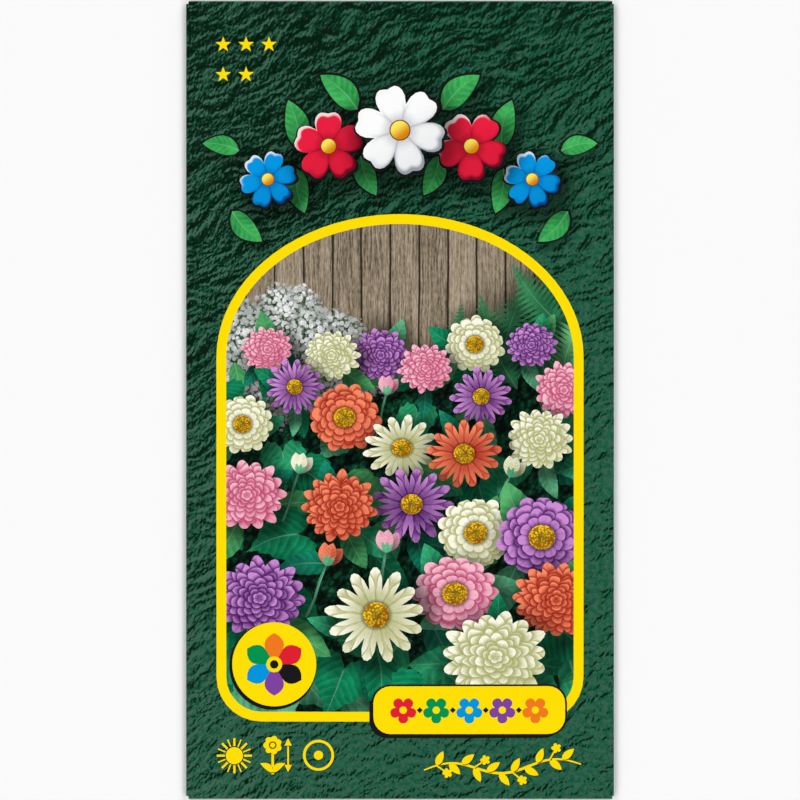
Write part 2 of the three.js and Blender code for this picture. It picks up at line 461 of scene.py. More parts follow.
def ferns(draw):
    """Fronds behind the flowers."""
    shapes, bend = [], 0.06
    for root, reach, lean in FERNS:
        frond = Shape(bent(fern(), bend), "frond", draw.choice(FERN_TONES), root, reach, lean, bend)
        shapes.append(frond.casting(0.45, (0.5, 0), (0.5, 0.3)))
    return shapes


# The bed of flowers: how many, from where to where, their sizes at its far and near ends, and how much
# room each keeps from the others.
BED = {"flowers": 24, "near_v": -49, "far_v": 11, "far_size": 5.2, "near_size": 9.4, "room": 0.8}


def scattered(draw):
    """Places for flowers over the bed, each with its size, the far ones first."""
    places = []
    for _ in range(60 * BED["flowers"]):
        u, v = draw.uniform(-31, 31), draw.uniform(BED["near_v"], BED["far_v"])
        near = (BED["far_v"] - v) / (BED["far_v"] - BED["near_v"])
        size = BED["far_size"] + (BED["near_size"] - BED["far_size"]) * near
        size *= draw.uniform(0.9, 1.1)
        if all(math.hypot(u - a, (v - b) * 1.12) > BED["room"] * (size + c) for a, b, c in places):
            places.append((u, v, size))
        if len(places) == BED["flowers"]:
            break
    return sorted(places, key=lambda p: -p[1])


def bloom(draw, kind, tones, place, size):
    """A flower's head, with petals of uneven lengths, seen a little from the side."""
    spec = FLOWERS[kind]
    petals = spec["rings"][0][0]
    lengths = np.array([draw.uniform(0.9, 1.07) for _ in range(petals)])
    outline = flower(petals, spec["dip"], spec["power"], 7, 0, lengths)
    turn, seed, squeeze = draw.uniform(0, TAU), draw.uniform(0, 50), draw.uniform(0.84, 0.98)
    return Shape(outline, kind, tones, place, size, turn, seed, squeeze).casting(0.85)


def bud(draw, tones, place, size):
    """A half-open bud on its stem: three petals over each other, in a green cup."""
    turn = math.pi / 2 + draw.uniform(-0.5, 0.5)
    down = np.array([[0, 0], [-0.7, 0.04], [-1.5, -0.03], [-2.3, 0.07]])
    shapes = [Shape(stroke(down, 0.12), "leaf", LEAVES[0], place, size, turn)]
    for lean in (-0.42, 0.42, 0.05):
        petal = Shape(blade(0.56, 10, 1.1), "leaf", tones, place, size, turn + lean)
        shapes.append(petal.casting(0.45, (0.5, 0), (0.5, 0.3)))
    for lean in (-0.5, 0.5, 0):
        shapes.append(Shape(blade(0.4), "leaf", LEAVES[0], place, 0.5 * size, turn + lean))
    return shapes


def undergrowth(draw):
    """Rows of broad leaves that fill the bed, the far ones first."""
    shapes = []
    for row in range(10):
        v = 6 - 6.4 * row
        size = 6.0 + 0.75 * row
        for column in range(7):
            place = (-33 + 11 * column + 5 * (row % 2) + draw.uniform(-2, 2), v + draw.uniform(-2, 2))
            turn = -math.pi / 2 + draw.uniform(-1.7, 1.7)
            kind = "heart" if draw.random() < 0.4 else "blade"
            shapes.append(leaf_at(draw, place, size * draw.uniform(0.9, 1.25), turn, kind))
    return shapes


# Where the broad leaves along the bottom of the window start.
LOW_LEAVES = (
    (-31, -44),
    (-21, -47),
    (29, -42),
    (19, -48),
    (-10, -49),
    (7, -50),
    (-27, -52),
    (30, -53),
    (-2, -54),
    (15, -55),
)


def near_leaves(draw):
    """Broad leaves along the bottom of the window, which stand behind the nearest flowers."""
    behind, plants = 12, []
    for place in LOW_LEAVES:
        turn = -math.pi / 2 + draw.uniform(-1.0, 1.0)
        leaf = leaf_at(draw, place, draw.uniform(11, 14.5), turn, "heart", LEAVES[:3])
        plants.append((place[1] + behind, [leaf]))
    return plants


def flower_bed(draw):
    """Flowers of three kinds with leaves round them and buds between them, the far ones first."""
    places = scattered(draw)
    chosen, plants = [], []
    for u, v, size in places:
        near = sorted(chosen, key=lambda c: math.hypot(c[0] - u, c[1] - v))[:2]
        colour = draw.choice([k for k in (0, 0, 1, 1, 1, 2, 3) if k not in [c[2] for c in near]])
        plant = []
        for _ in range(4):
            turn = draw.uniform(0, TAU)
            root = heading(turn, 0.35 * size) + [u, v - 0.3 * size]
            leaf = leaf_at(draw, root, size * draw.uniform(1.05, 1.5), turn)
            tip = leaf.at + heading(turn, leaf.size)
            if all(math.hypot(tip[0] - a, tip[1] - b) > 0.85 * c for a, b, c in places):
                plant.append(leaf)
        kind = draw.choice(("dahlia", "dahlia", "zinnia", "daisy"))
        plants.append((v, plant + [bloom(draw, kind, PETALS[colour], (u, v), size)]))
        chosen.append((u, v, colour))
    for _ in range(400):
        u, v = draw.uniform(-30, 30), draw.uniform(-44, 12)
        size = 3.4 + 1.4 * (12 - v) / 56
        if all(math.hypot(u - a, v - b) > c + 0.55 * size for a, b, c in places):
            places.append((u, v, size))
            plants.append((v, bud(draw, PETALS[draw.randrange(4)], (u, v), size)))
    shapes = undergrowth(draw)
    plants += near_leaves(draw)
    for _, plant in sorted(plants, key=lambda p: -p[0]):
        shapes += plant
    return shapes


def picture():
    """The framed picture of a flower bed, from its backdrop up."""
    draw = random.Random(21)
    shapes = ferns(draw) + flower_bed(draw)
    for shape in shapes:
        shape.framed = True
    backdrop = Shape(window_outline(0), "backdrop", (WHITE, WHITE))
    return [solid(window_outline(FRAME_STROKE), YELLOW), backdrop] + shapes


# ---------------------------------------------------------------- the other artwork


ENAMEL = {"dip": 0.42, "power": 3.2, "notch": 0.07}


def enamelled(petals, tones, at, size, turn, edge, edge_at):
    """A blossom in enamel over its black edge."""
    outline = flower(petals, steps=12, **ENAMEL)
    under = solid(outline, BLACK, np.add(at, edge_at), size + edge, turn)
    return [under, Shape(outline, f"enamel{petals}", tones, at, size, turn)]


# The garland's blossoms: place, size, light and dark colour, petals.
BLOSSOMS = (
    ((24.8, 41.4), 5.4, (ink(0, 150, 224), ink(0, 66, 140)), 6),
    ((13.4, 47.6), 6.6, (ink(232, 30, 62), ink(124, 4, 26)), 5),
    ((0.0, 50.6), 8.6, (ink(252, 252, 252), ink(150, 156, 164)), 6),
)
# The garland's leaves: place, direction, size.
SPRIGS = (
    ((31.5, 35.4), -2.35, 8.0),
    ((30.2, 46.8), 0.2, 7.0),
    ((19.4, 43.4), -1.75, 8.5),
    ((19.0, 47.5), 1.35, 9.0),
    ((7.4, 45.8), -1.95, 8.0),
    ((8.0, 54.5), 0.75, 9.5),
)


def garland():
    """Large enamelled blossoms and leaves in a bow over the window, the same on both sides."""
    shapes = []
    for place, turn, size in SPRIGS:
        for side in (1, -1):
            at = place * np.array([side, 1])
            way = turn if side == 1 else math.pi - turn
            bend = 0.07 * side
            outline = bent(blade(0.5, 10), bend)
            edge = solid((outline - [0.5, 0]) * 1.14 + [0.5, 0], BLACK, at, size, way)
            shapes.append(edge.casting(0.5, (0.5, 0), (0.5, 0.25)))
            shapes.append(Shape(outline, "leaf", GARLAND_LEAF, at, size, way, bend))
    for place, size, tones, petals in BLOSSOMS:
        for side in (-1, 1) if place[0] else (1,):
            at = place * np.array([side, 1])
            blossom = enamelled(petals, tones, at, size, 0.3 * side, 0.45, (0.12, -0.18))
            blossom[0].casting(0.7)
            shapes += blossom
    return shapes


def tab():
    """A yellow tab over the window's lower edge, with a row of small blossoms."""
    middle, width, height, corner, pitch = np.array([13.0, -58.2]), 36.0, 9.0, 3.2, 6.2
    shapes = [
        solid(box_outline(width, height, corner), BLACK, middle + [-0.75, -0.75]),
        solid(box_outline(width + 0.7, height + 0.7, corner + 0.3), BLACK, middle),
        solid(box_outline(width, height, corner), YELLOW, middle),
    ]
    colours = (SOLID_RED, SOLID_GREEN, SOLID_BLUE, SOLID_VIOLET, SOLID_ORANGE)
    for k, colour in enumerate(colours):
        at = middle + [pitch * (k - 2), 0]
        shapes.append(solid(flower(5, 0.4, 2.6, 8), colour, at, 2.5, math.pi / 2))
        shapes.append(solid(round_outline(14), YELLOW, at, 0.7))
    for k in range(4):
        at = middle + [pitch * (k - 1.5), 0]
        shapes.append(solid(box_outline(0.8, 0.8), BLACK, at, 1, math.pi / 4))
    return shapes


def medallion():
    """A yellow disc with a black edge and a flower whose petals are of six colours."""
    middle, size = np.array([-23.6, -49.6]), 7.9
    shapes = [
        solid(round_outline(64), BLACK, middle + [-0.25, -0.35], size + 0.3),
        solid(round_outline(64), YELLOW, middle, size),
    ]
    colours = (SOLID_RED, SOLID_ORANGE, SOLID_GREEN, SOLID_BLUE, SOLID_VIOLET, BLACK)
    for k, colour in enumerate(colours):
        shapes.append(solid(blade(0.62, 10, 1.5), colour, middle, 5.9, (2 * k + 1) * math.pi / 6))
    shapes.append(solid(round_outline(24), YELLOW, middle, 1.5))
    shapes.append(solid(round_outline(20), BLACK, middle, 0.8))
    return shapes


def stars():
    """Three stars over two, at the upper left."""
    size, pitch, row = 1.55, 4.3, 5.65
    left, top = -33.2, 66.75
    places = [(0, 0), (1, 0), (2, 0), (0, 1), (1, 1)]
    return [solid(star(), YELLOW, (left + pitch * k, top - row * down), size) for k, down in places]


def sun_sign(at, colour=YELLOW):
    """A sun with sixteen rays, thick and thin by turns."""
    shapes = []
    for k in range(16):
        ray = box_outline(1.5, 0.26 if k % 2 else 0.42) + [2.55, 0]
        shapes += marked(ray, colour, at, 1, k * TAU / 16)
    return shapes + marked(round_outline(32), colour, at, 1.62)


def height_arrow(at, length, colour):
    """An upright line with an arrowhead at each end."""
    shapes = marked(box_outline(0.34, length - 1.2), colour, at)
    half_wide, tall = 0.7, 1.4
    head = np.array([[-half_wide, 0.0], [half_wide, 0.0], [0.0, tall]])
    for side in (-1, 1):
        shapes += marked(head * side, colour, at + np.array([0, side * (length / 2 - tall)]))
    return shapes


def plant_sign(at, colour=YELLOW):
    """A flower on its stem beside an upright arrow that shows its height."""
    at = np.array(at)
    shapes = marked(box_outline(0.5, 4.6), colour, at + [0, -1.3])
    for side in (-1, 1):
        leaf = bent(blade(0.42), 0.1 * side)
        shapes += marked(leaf, colour, at + [0, -3.2], 2.9, math.pi / 2 - side * 0.95)
    head = at + [0, 1.9]
    shapes += marked(flower(7, 0.2, 1.6), colour, head, 1.8)
    shapes.append(solid(round_outline(18), BLACK, head, 0.72))
    shapes.append(solid(round_outline(18), colour, head, 0.5))
    return shapes + height_arrow(at + [2.9, 0.0], 6.4, colour)


def ring_sign(at, colour=YELLOW, inside="ground"):
    """A ring round a dot: a seed in its pot."""
    shapes = marked(round_outline(44), colour, at, 2.93)
    shapes.append(Shape(round_outline(44), inside, (WHITE, WHITE), at, 2.43))
    return shapes + marked(round_outline(24), colour, at, 0.87)


def drop_sign(at, colour):
    """Three drops of water."""
    drop = round_outline(28, lambda a: 1 + 0.85 * np.clip(np.cos(a), 0, 1) ** 7)
    shapes = []
    for place, size in (((0, 0.9), 1.45), ((-1.7, -1.9), 0.85), ((1.7, -1.9), 0.85)):
        shapes += marked(drop, colour, np.add(at, place), size, math.pi / 2)
    return shapes


def sprig():
    """A long leafy sprig at the lower right, with buds along it."""
    start, end = np.array([4.5, -69.5]), np.array([34.0, -68.4])
    t = np.linspace(0, 1, 26)
    stem = start + (end - start) * t[:, None] + np.stack([0 * t, 1.15 * np.sin(TAU * 1.5 * t)], 1)
    shapes = marked(stroke(stem, 0.5, 0.5))
    for k in range(2, 24, 2):
        side = 1 if k % 4 else -1
        along = stem[k + 1] - stem[k - 1]
        turn = math.atan2(along[1], along[0]) + side * 0.85
        shapes += marked(blade(0.46), YELLOW, stem[k], 3.0, turn)
        if k % 6 == 2:
            turn -= side * 1.75
            shapes += marked(stroke([(0, 0), (1, 0), (2, 0)], 0.3), YELLOW, stem[k], 1, turn)
            shapes += marked(flower(5, 0.4, 2.4), YELLOW, stem[k] + heading(turn, 2.5), 0.95)
    return shapes


# ---------------------------------------------------------------- the back's artwork


BACK = np.array([-79.7, -1.5])
BACK_PANEL = (67.0, 98.0)
SOIL, PALE_SOIL = ink(92, 60, 38), ink(150, 108, 72)
LINE_GREEN, PALE_GREEN = ink(20, 104, 64), ink(214, 226, 190)
SEASONS = (ink(120, 176, 214), ink(128, 190, 96), ink(248, 196, 52), ink(214, 126, 56))
MONTHS = 12
# The calendar's bars: line, first and last month, colour.
BARS = (
    (0, 2, 5, LINE_GREEN),
    (1, 4, 6, SOLID_ORANGE),
    (2, 5, 10, SOLID_RED),
)


def shaded(colour, share):
    """A darker tone of a colour."""
    return tuple(share * np.array(colour))


def back_panel():
    """A cream panel with a yellow edge."""
    width, height = BACK_PANEL
    edge = solid(box_outline(width + 2.4, height + 2.4, 5.7), YELLOW, BACK)
    return [edge, Shape(box_outline(width, height, 4.5), "cream", (CREAM, CREAM), BACK)]


def back_header(at):
    """Five enamelled blossoms in a row, with a pair of leaves in each gap and at each end."""
    pitch, shapes = 11.0, []
    for k in range(6):
        for side in (-1, 1):
            root = at + [pitch * (k - 2.5), -side * 0.6]
            shapes.append(Shape(blade(0.5, 10), "leaf", GARLAND_LEAF, root, 5.4, side * math.pi / 2))
    for k, colour in enumerate((SOLID_BLUE, SOLID_RED, SOLID_ORANGE, SOLID_RED, SOLID_BLUE)):
        place, turn = at + [pitch * (k - 2), 0], 0.3 * (1 if k < 3 else -1)
        tones = (colour, shaded(colour, 0.3))
        shapes += enamelled(5 if k % 2 else 6, tones, place, 4.2, turn, 0.3, (0.1, -0.1))
    return shapes


def plant(root, height, pairs, head):
    """A young plant with pairs of leaves up its stem, and a flower on top if it has one."""
    shapes = [solid(box_outline(0.5, height), LINE_GREEN, root + [0, height / 2])]
    for pair in range(pairs):
        up = height * (pair + 1) / (pairs + 0.35)
        for side in (-1, 1):
            turn = math.pi / 2 - side * (1.15 - 0.25 * pair / pairs)
            size = 2.0 + 0.34 * height - 0.55 * pair
            shapes.append(Shape(blade(0.46), "leaf", LEAVES[1], root + [0, up - 0.6], size, turn))
    if head is not None:
        top = root + [0, height + 1.2]
        shapes.append(solid(flower(9, 0.3, 2.2, 7), head, top, 3.4))
        shapes.append(solid(flower(9, 0.3, 2.2, 7), shaded(head, 0.45), top, 2.1))
        shapes.append(solid(round_outline(18), YELLOW, top, 1.2))
    return shapes


def seed_mark(at, colour):
    """An oval seed."""
    return solid(round_outline(24) * [1.5, 1.0], colour, at)


def calendar(at):
    """A year in twelve columns, with bars for sowing, planting out and flowering, each by its sign."""
    column, row = 4.3, 5.6
    left = at[0] - 22.0
    lines = [at[1] + row * (1 - line) for line in range(len(BARS))]
    shapes = []
    for month in range(MONTHS):
        x = left + (month + 0.5) * column
        season = SEASONS[(month + 1) // 3 % 4]
        shapes.append(solid(box_outline(column - 0.5, 2.6, 0.5), season, (x, at[1] + 11.2)))
        for y in lines:
            shapes.append(solid(box_outline(column - 0.5, row - 0.6, 0.5), PALE_GREEN, (x, y)))
    for line, first, last, colour in BARS:
        bar = box_outline((last - first) * column - 0.9, 2.6, 1.1)
        shapes.append(solid(bar, colour, (left + (first + last) / 2 * column, lines[line])))
    sowing, planting, flowering = (np.array([left - 4.2, y]) for y in lines)
    shapes.append(seed_mark(sowing, SOIL))
    shapes.append(solid(round_outline(14) * [0.5, 0.28], PALE_SOIL, sowing + [-0.4, 0.3]))
    shapes += plant(planting + [0, -2.0], 4.0, 1, None)
    shapes.append(solid(flower(7, 0.3, 2.4, 8), SOLID_RED, flowering, 2.1))
    shapes.append(solid(round_outline(16), YELLOW, flowering, 0.75))
    return shapes


def growth_row(at):
    """A bed of soil with a seed, a sprout, a young plant and a plant in flower."""
    draw = random.Random(5)
    shapes = [solid(box_outline(57, 6.4, 1.6), SOIL, at)]
    for _ in range(40):
        place = at + [draw.uniform(-27, 27), draw.uniform(-2.6, 2.4)]
        shapes.append(solid(round_outline(7), PALE_SOIL, place, draw.uniform(0.18, 0.42)))
    shapes.append(seed_mark(at + [-22, 0.2], ink(226, 190, 130)))
    for x, height, pairs, head in ((-9, 3.6, 1, None), (5, 9.0, 3, None), (20, 13.5, 4, SOLID_VIOLET)):
        shapes += plant(at + [x, 2.6], height, pairs, head)
    return shapes + height_arrow(at + [-1.5, 8.2], 9.0, LINE_GREEN)


def back_signs(at):
    """Four signs in a row, each in a pale square."""
    places = [at + [14.6 * (k - 1.5), 0] for k in range(4)]
    shapes = [solid(box_outline(11.4, 11.4, 2.0), PALE_GREEN, place) for place in places]
    shapes += sun_sign(places[0], SOLID_ORANGE) + drop_sign(places[1], SOLID_BLUE)
    shapes += plant_sign(places[2] + [-1.2, 0], LINE_GREEN)
    return shapes + ring_sign(places[3], LINE_GREEN, "cream")


front_shapes = picture() + garland() + tab() + medallion() + stars() + sprig()
front_shapes += sun_sign((-31.1, -66.8)) + plant_sign((-23.9, -66.7)) + ring_sign((-15.3, -66.7))
back_shapes = back_panel() + back_header(BACK + [0, 40.0]) + calendar(BACK + [2.0, 19.0])
back_shapes += growth_row(BACK + [0, -18.5]) + back_signs(BACK + [0, -36.5])
all_shapes = front_shapes + back_shapes


# ---------------------------------------------------------------- the sheet's mesh


def evenly(a, b, gap):
    """Numbers from a to b, about a gap apart, to the nearest micron."""
    count = max(1, round((b - a) / gap))
    return np.round(np.linspace(a, b, count + 1), 3)


SHEET_GAP, INNER_GAP = 2.5, 5.0  # between points on the outer face and on the inner one
FINE_GAP, FINE_HALF = 1.3, (36, 62)  # closer ones on the outer face, and how far from its middle
SIDE_LINES = evenly(-END, END, SHEET_GAP)
END_LINES = evenly(-LEFT, RIGHT, SHEET_GAP)
FOLD_STEPS = 10
UNDER_FRAME = 0.5  # how far the picture's shapes run on under its frame
SAME_POINT = 1e-5  # outlines' points that are closer than this are one


class Patch:
    """A cut-up piece of the flat sheet: its points, its triangles and the shape that each shows."""

    def __init__(self, points, triangles, shown):
        self.points, self.triangles, self.shown = points, triangles, shown


def cut_panel(outline, shapes, spots, first=0):
    """Cuts a panel along its shapes' outlines. Each triangle shows the topmost shape over it, or -1."""
    corners, faces, numbers = [], [], []
    hull = window_outline(UNDER_FRAME)
    for number, ring in enumerate([outline] + [shape.outline for shape in shapes]):
        if number:
            if shapes[number - 1].framed:
                ring = clipped(ring, hull)
            if len(ring) < 3:
                continue
            ring = finely(ring)
        ring = ring if area(ring) > 0 else ring[::-1]
        faces.append(list(range(len(corners), len(corners) + len(ring))))
        corners.extend(Vector(p) for p in ring)
        numbers.append(number - 1)
    corners.extend(Vector(p) for p in spots)
    points, _, triangles, _, _, over = delaunay_2d_cdt(corners, [], faces, 1, SAME_POINT, True)
    shown, kept = [], []
    for triangle, rings in zip(triangles, over):
        if 0 not in rings:
            continue
        over_it = [numbers[k] for k in rings if k]
        inside = any(shapes[k].ink == "backdrop" for k in over_it)
        seen = [k + first for k in over_it if inside or not shapes[k].framed]
        shown.append(max(seen, default=-1))
        kept.append(triangle)
    return Patch(np.array([p[:] for p in points]), kept, shown)


def spots_in(u0, u1, v0, v1, gap):
    """Loose points in a rectangle, so that the triangles can follow its curve and its shades."""
    us = evenly(u0 + gap / 2, u1 - gap / 2, gap)
    vs = evenly(v0 + gap / 2, v1 - gap / 2, gap)
    spots = []
    for row, v in enumerate(vs):
        spots += [(u + (gap / 2 if row % 2 and u + gap < u1 else 0), v) for u in us]
    return spots


def grid_rings(rows, columns):
    """The corners of each cell in a grid of points that run along its rows."""
    rings = []
    for row in range(rows - 1):
        for column in range(columns - 1):
            a = row * columns + column
            rings.append((a, a + 1, a + 1 + columns, a + columns))
    return rings


def fold_patch(axis, side, edge, radius, lines):
    """A grid over the bend between the front and a wing."""
    past = np.round(edge + math.pi * radius * np.arange(FOLD_STEPS + 1) / FOLD_STEPS, 3)
    points = np.array([(side * reach, line) for line in lines for reach in past])
    triangles = []
    for ring in grid_rings(len(lines), FOLD_STEPS + 1):
        a, b, c, d = ring[::-1] if (side > 0) == (axis == 1) else ring
        triangles += [[a, b, c], [a, c, d]]
    return Patch(points if axis == 0 else points[:, ::-1], triangles, [-1] * len(triangles))


def front_outline():
    """The front's edge, with a point wherever a fold's grid meets it."""
    bottom = [(u, -END) for u in END_LINES[:-1]]
    right = [(RIGHT, v) for v in SIDE_LINES[:-1]]
    top = [(u, END) for u in END_LINES[:0:-1]]
    left = [(-LEFT, v) for v in SIDE_LINES[:0:-1]]
    return np.array(bottom + right + top + left)


def wing_outline(axis, side, start, depth, taper, lines):
    """A wing's edge, from the end of its fold."""
    tip = round(start + depth, 3)
    ring = [(start, line) for line in lines] + [(tip, lines[-1] - taper), (tip, lines[0] + taper)]
    if axis == 1:
        ring = [(line, reach) for reach, line in ring]
    return np.array(ring) * ([side, 1] if axis == 0 else [1, side])


def sheet_patches(on_front, on_back, spots):
    """The whole flat sheet as patches: the front, then each bend and its wing."""
    patches = [cut_panel(front_outline(), on_front, spots)]
    sizes = (  # depth, taper, lines along the fold, printed shapes
        (LEFT + WIDTH / 2 - BACK_MARGIN, 0, SIDE_LINES, on_back),
        (SEAM_FLAP, SEAM_TAPER, SIDE_LINES, []),
        (BOTTOM_FLAP, FLAP_TAPER, END_LINES, []),
        (TOP_FLAP, FLAP_TAPER, END_LINES, []),
    )
    for (axis, side, edge, level), (depth, taper, lines, marks) in zip(WINGS, sizes):
        radius = (FRONT_Z - level) / 2
        patches.append(fold_patch(axis, side, edge, radius, lines))
        start = round(edge + math.pi * radius, 3)
        outline = wing_outline(axis, side, start, depth, taper, lines)
        patches.append(cut_panel(outline, marks, [], len(on_front)))
    return patches


def joined(patches):
    """One set of flat points and triangles from patches that share their edges."""
    index, points, triangles = {}, [], []
    for number, patch in enumerate(patches):
        own = []
        for key, point in zip(np.round(patch.points * 1000).astype(int), patch.points):
            key = tuple(key)
            if key not in index:
                index[key] = len(points)
                points.append(point)
            own.append(index[key])
        for triangle, shown in zip(patch.triangles, patch.shown):
            ring = tuple(own[k] for k in triangle)
            if len(set(ring)) == 3:
                triangles.append((ring, number, shown))
    return np.array(points), triangles, index


def rim_edges(triangles):
    """The edges that only one triangle has, each in that triangle's direction."""
    seen = {}
    for ring, _, _ in triangles:
        for a, b in zip(ring, ring[1:] + ring[:1]):
            if (b, a) in seen:
                del seen[(b, a)]
            else:
                seen[(a, b)] = True
    return list(seen)


# ---------------------------------------------------------------- materials


class Wire:
    """A value in a material. Python's operators on it add Math nodes."""

    def __init__(self, graph, socket):
        self.graph, self.socket = graph, socket

    def maths(self, operation, *others):
        values = dict(enumerate((self, *others)))
        return self.graph.node("ShaderNodeMath", {"operation": operation}, values)

    def __add__(self, other):
        return self.maths("ADD", other)

    def __mul__(self, other):
        return self.maths("MULTIPLY", other)

    def __sub__(self, other):
        return self.maths("SUBTRACT", other)

    def __truediv__(self, other):
        return self.maths("DIVIDE", other)

    def __pow__(self, other):
        return self.maths("POWER", other)

    def __mod__(self, other):
        return self.maths("FLOORED_MODULO", other)

    def __abs__(self):
        return self.maths("ABSOLUTE")

    def __rsub__(self, other):
        return self * -1.0 + other

    __radd__ = __add__
    __rmul__ = __mul__

    def step(self, start, end, to=(0.0, 1.0)):
        """Goes smoothly from to[0] to to[1] as the value goes from start to end."""
        if start > end:
            start, end, to = end, start, to[::-1]
        values = {"Value": self, "From Min": start, "From Max": end, "To Min": to[0], "To Max": to[1]}
        return self.graph.node("ShaderNodeMapRange", {"interpolation_type": "SMOOTHSTEP"}, values)


class Graph:
    """A material's nodes, or those of the light from all round."""

    def __init__(self, name, kind="materials"):
        self.owner = getattr(bpy.data, kind).new(name)
        self.owner.use_nodes = True
        self.tree = self.owner.node_tree
        self.tree.nodes.clear()

    def node(self, kind, settings=None, values=None, out=0):
        """Adds a node with its settings and its sockets' values or links. Gives one of its outputs."""
        node = self.tree.nodes.new(kind)
        for name, value in (settings or {}).items():
            setattr(node, name, value)
        for name, value in (values or {}).items():
            socket = node.inputs[name]
            if isinstance(value, Wire):
                self.tree.links.new(value.socket, socket)
            elif socket.type == "RGBA":
                socket.default_value = (*value[:3], 1)
            else:
                socket.default_value = value
        return Wire(self, node.outputs[out]) if node.outputs else None

    def attribute(self, name, out="Vector"):
        return self.node("ShaderNodeAttribute", {"attribute_name": name}, out=out)

    def number(self, name):
        return self.attribute(name, "Fac")

    def own_colours(self):
        """The light and the dark colour of the shape that a place belongs to."""
        return self.attribute("ink_light", "Color"), self.attribute("ink_dark", "Color")

    def parts(self, vector):
        split = self.node("ShaderNodeSeparateXYZ", None, {0: vector})
        return [Wire(self, socket) for socket in split.socket.node.outputs]

    def vector(self, x, y, z=0.0):
        return self.node("ShaderNodeCombineXYZ", None, {0: x, 1: y, 2: z})

    def noise(self, place, scale, detail=2.0, rough=0.5):
        values = {"Vector": place, "Scale": scale, "Detail": detail, "Roughness": rough}
        return self.node("ShaderNodeTexNoise", None, values)

    def cells(self, place, scale, out="Distance", feature="F1"):
        values = {"Vector": place, "Scale": scale}
        return self.node("ShaderNodeTexVoronoi", {"feature": feature}, values, out)

    def mix(self, share, first, second):
        settings = {"data_type": "RGBA", "clamp_factor": True}
        return self.node("ShaderNodeMix", settings, {0: share, 6: first, 7: second}, out=2)

    def scaled(self, colour, value):
        """A colour times a number."""
        return self.node("ShaderNodeVectorMath", {"operation": "SCALE"}, {0: colour, "Scale": value})

    def turned(self, x, y, turn, along, across, seed=0.0):
        """A place measured along and across a direction, each at its own scale."""
        cos, sin = math.cos(turn), math.sin(turn)
        return self.vector((x * cos + y * sin) * along, (y * cos - x * sin) * across, seed)

    def finish(self, colour, roughness, height=None, rise=0.02, specular=0.3):
        """Ends the material in a shader. Height is a relief, and rise its depth in millimetres."""
        values = {"Base Color": colour, "Roughness": roughness, "Specular IOR Level": specular}
        if height is not None:
            relief = {"Strength": 1.0, "Distance": rise * MM, "Height": height}
            values["Normal"] = self.node("ShaderNodeBump", None, relief)
        shader = self.node("ShaderNodeBsdfPrincipled", None, values)
        self.node("ShaderNodeOutputMaterial", None, {"Surface": shader})
        return self.owner


def paper_grain(graph, flat):
    """The fine, faint relief of coated paper."""
    return graph.noise(flat, 2.2, 3.0, 0.6) * 0.7 + graph.noise(flat, 9.0, 2.0, 0.5) * 0.3


def printed(graph, colour):
    """Ends an ink on coated paper: its shades, its slight unevenness, and the varnish over the grain."""
    flat = graph.attribute("flat")
    uneven = graph.noise(flat, 5.0, 2.0, 0.6).step(0.3, 0.7, (0.98, 1.02))
    colour = graph.scaled(colour, uneven * graph.number("shade"))
    roughness = graph.noise(flat, 0.35, 2.0).step(0.3, 0.7, (0.28, 0.36))
    return graph.finish(colour, roughness, paper_grain(graph, flat), 0.012, 0.12)


def ground_ink():
    """Green leather: a lit relief whose dark hollows shrink to thin cracks towards the lower right."""
    graph = Graph("ground_ink")
    flat = graph.attribute("flat")
    u, v, _ = graph.parts(flat)
    lit = u * 0.95 - v
    bend = graph.noise(flat, 0.06, 1.0) * 10.0
    broad = graph.noise(graph.turned(u, v + bend, 0.3, 0.1, 0.35, 5.0), 1.0, 1.0)

    def height(across, up):
        x, y = u + across, v + up
        jag = graph.noise(graph.turned(x, y, 0.95, 0.6, 2.2, 3.0), 1.0, 2.0, 0.6)
        row = graph.turned(x, y + jag * 3.0 + bend, 0.36, 0.24, 0.85, 8.0)
        return graph.noise(row, 1.0, 2.0, 0.55)

    slope = height(0.13, -0.18) - height(-0.13, 0.18)
    scratch = graph.noise(graph.turned(u, v, 0.85, 1.2, 4.2, 11.0), 1.0, 2.0) - 0.5
    hollow = lit.step(-100.0, 72.0, (0.055, -0.085)) + broad.step(0.2, 0.8, (-0.04, 0.04))
    hollow = hollow - slope - scratch * u.step(30.0, -36.0, (0.1, 0.62))
    mottle = graph.noise(flat, 1.1, 3.0, 0.65)
    light = graph.mix(mottle.step(0.36, 0.64), ink(14, 86, 62), ink(55, 97, 75))
    light = graph.mix(u.step(10.0, -36.0) * slope.step(0.0, 0.12), light, ink(62, 102, 80))
    colour = graph.mix(hollow.step(-0.007, 0.007), light, ink(0, 44, 26))
    colour = graph.mix(hollow.step(0.05, 0.1), colour, ink(2, 25, 12))
    return printed(graph, colour)


def plain_ink():
    """One solid colour to each shape."""
    graph = Graph("plain_ink")
    return printed(graph, graph.own_colours()[0])


def round_middle(graph):
    """A place in a shape's own frame, its distance and direction from the middle, and the seed."""
    x, y, seed = graph.parts(graph.attribute("local"))
    return x, y, (x * x + y * y) ** 0.5, y.maths("ARCTAN2", x), seed


def petal_place(angle, petals, phase=0.0):
    """0 along the middle of each petal and 1 between petals, and the petal's number."""
    turns = angle * (petals / TAU) + phase
    return abs(turns % 1.0 * 2.0 - 1.0), turns.maths("FLOOR") % float(petals)


